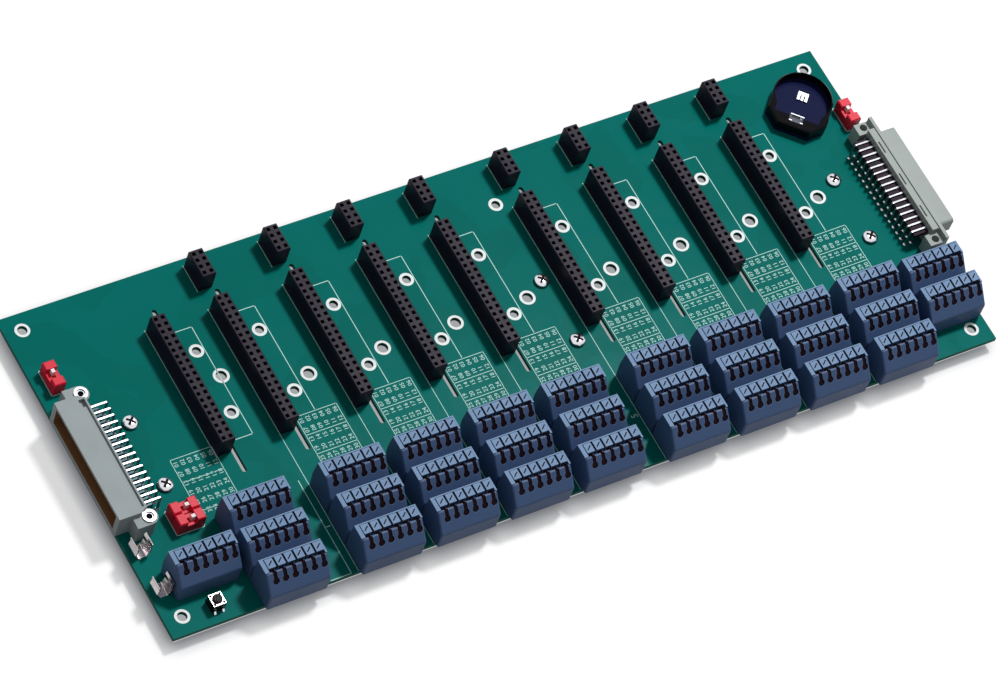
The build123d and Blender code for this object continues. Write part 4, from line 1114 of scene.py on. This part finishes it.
# %% [markdown]
# Hollows look nearly black from shade, but not all alike, and the dark pieces in them paint
# that shade: the wire openings and the screws' recesses get a reddish cast, and the button
# slots and gaps a blue one.

# %% Painted shade for the hollows
deep_shade = plastic("deep_shade", linear(30, 14, 22), linear(14, 10, 20), 0.6, drift=1.0, specular=0.05)
gap_shade = plastic("gap_shade", linear(26, 30, 44), linear(16, 18, 30), 0.6, specular=0.05)
for piece, finish, slot in (
    (wire_shade_liners, deep_shade, "terminal_plastic"),
    (button_slot_shades, gap_shade, "terminal_plastic"),
    (gap_shade_ribs, gap_shade, "terminal_plastic"),
    (screw_recess_shades, deep_shade, "bright_steel"),
):
    piece.data.materials.append(finish)
    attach(piece, "board")

# %% [markdown]
# ## Studio
# The board lies on a pale table under soft light. The strongest light comes from the rear
# right, because the headers' shadows fall to the front left. To the camera and in
# reflections the world and the table are white; the light on the object stays plain.
# Close to the board's edge a painted shadow darkens the table to a narrow bluish blur, as it
# does in the photo. Under the board that painted shadow is weaker, so the holes stay paler than the edge.

# %% Studio
FLOOR_Z = -5.7
TABLE_SHADE = 0.3
TABLE_SEEN = 0.46
TABLE_GLOW = 0.58
PAINTED_SHADOW_REACH = 7.0
PAINTED_SHADOW_DEPTH = 2.0
PAINTED_SHADOW_TONE = (0.78, 0.84, 1.0, 1.0)
HOLE_PALENESS = 0.7
UNDER_BOARD = {"Centre": (0.0, 0.0, mm(FLOOR_Z)), "Half Size": (mm(157.0), mm(62.0), mm(1.0))}
WHITE = (1.0, 1.0, 1.0, 1.0)
deselect()
bpy.ops.mesh.primitive_plane_add(size=12.0, location=(0.0, 0.0, mm(FLOOR_Z)))
table = named("studio_table")
apply_place(table)
table_paint, tree, shader = new_material("studio_table")
shader.inputs["Roughness"].default_value = 0.9
shader.inputs["Specular IOR Level"].default_value = 0.1
rays = tree.nodes.new("ShaderNodeLightPath")
seen = math_node(tree, "MAXIMUM", rays.outputs["Is Camera Ray"], rays.outputs["Is Glossy Ray"])
shades = [(shade, shade, shade, 1.0) for shade in (TABLE_SHADE, TABLE_SEEN)]
tree.links.new(mix_colour(tree, seen, *shades), shader.inputs["Base Color"])
# Painted shadow: ambient occlusion dims the table's glow near the board and tints it bluish; under the board
# the dimming is partly taken back, which paints the holes paler.
nearness = tree.nodes.new("ShaderNodeAmbientOcclusion")
nearness.inputs["Distance"].default_value = mm(PAINTED_SHADOW_REACH)
under = place_group(tree, inside_box, UNDER_BOARD).outputs["Mask"]
under = math_node(tree, "MULTIPLY", under, HOLE_PALENESS)
dark = math_node(tree, "SUBTRACT", 1.0, nearness.outputs["AO"])
clear = math_node(tree, "ADD", nearness.outputs["AO"], math_node(tree, "MULTIPLY", dark, under))
glow = math_node(tree, "MULTIPLY", math_node(tree, "POWER", clear, PAINTED_SHADOW_DEPTH), TABLE_GLOW)
tree.links.new(math_node(tree, "MULTIPLY", seen, glow), shader.inputs["Emission Strength"])
tree.links.new(mix_colour(tree, clear, PAINTED_SHADOW_TONE, WHITE), shader.inputs["Emission Color"])
table.data.materials.append(table_paint)

world = bpy.data.worlds.new("studio")
bpy.context.scene.world = world
world.use_nodes = True
tree = world.node_tree
background = tree.nodes["Background"]
background.inputs["Color"].default_value = (1.0, 1.0, 1.0, 1.0)
rays = tree.nodes.new("ShaderNodeLightPath")
seen = math_node(tree, "MAXIMUM", rays.outputs["Is Camera Ray"], rays.outputs["Is Glossy Ray"])
seen = math_node(tree, "MAXIMUM", seen, rays.outputs["Is Transmission Ray"])
WORLD_LIGHT = 0.28
extra = math_node(tree, "MULTIPLY", seen, 1.0 - WORLD_LIGHT)
tree.links.new(math_node(tree, "ADD", extra, WORLD_LIGHT), background.inputs["Strength"])

KEY_PLACE = (0.81, 0.45, 1.66)
KEY_POWER = 32.0
KEY_SIZE = 0.26
bpy.ops.object.light_add(type="AREA", location=KEY_PLACE)
key = bpy.context.active_object
key.name = "key_light"
key.data.shape = "SQUARE"
key.data.size = KEY_SIZE
key.data.energy = KEY_POWER
key.rotation_euler = (-Vector(KEY_PLACE)).to_track_quat("-Z", "Y").to_euler()
bpy.context.scene.view_settings.view_transform = "Standard"
print("studio ready")
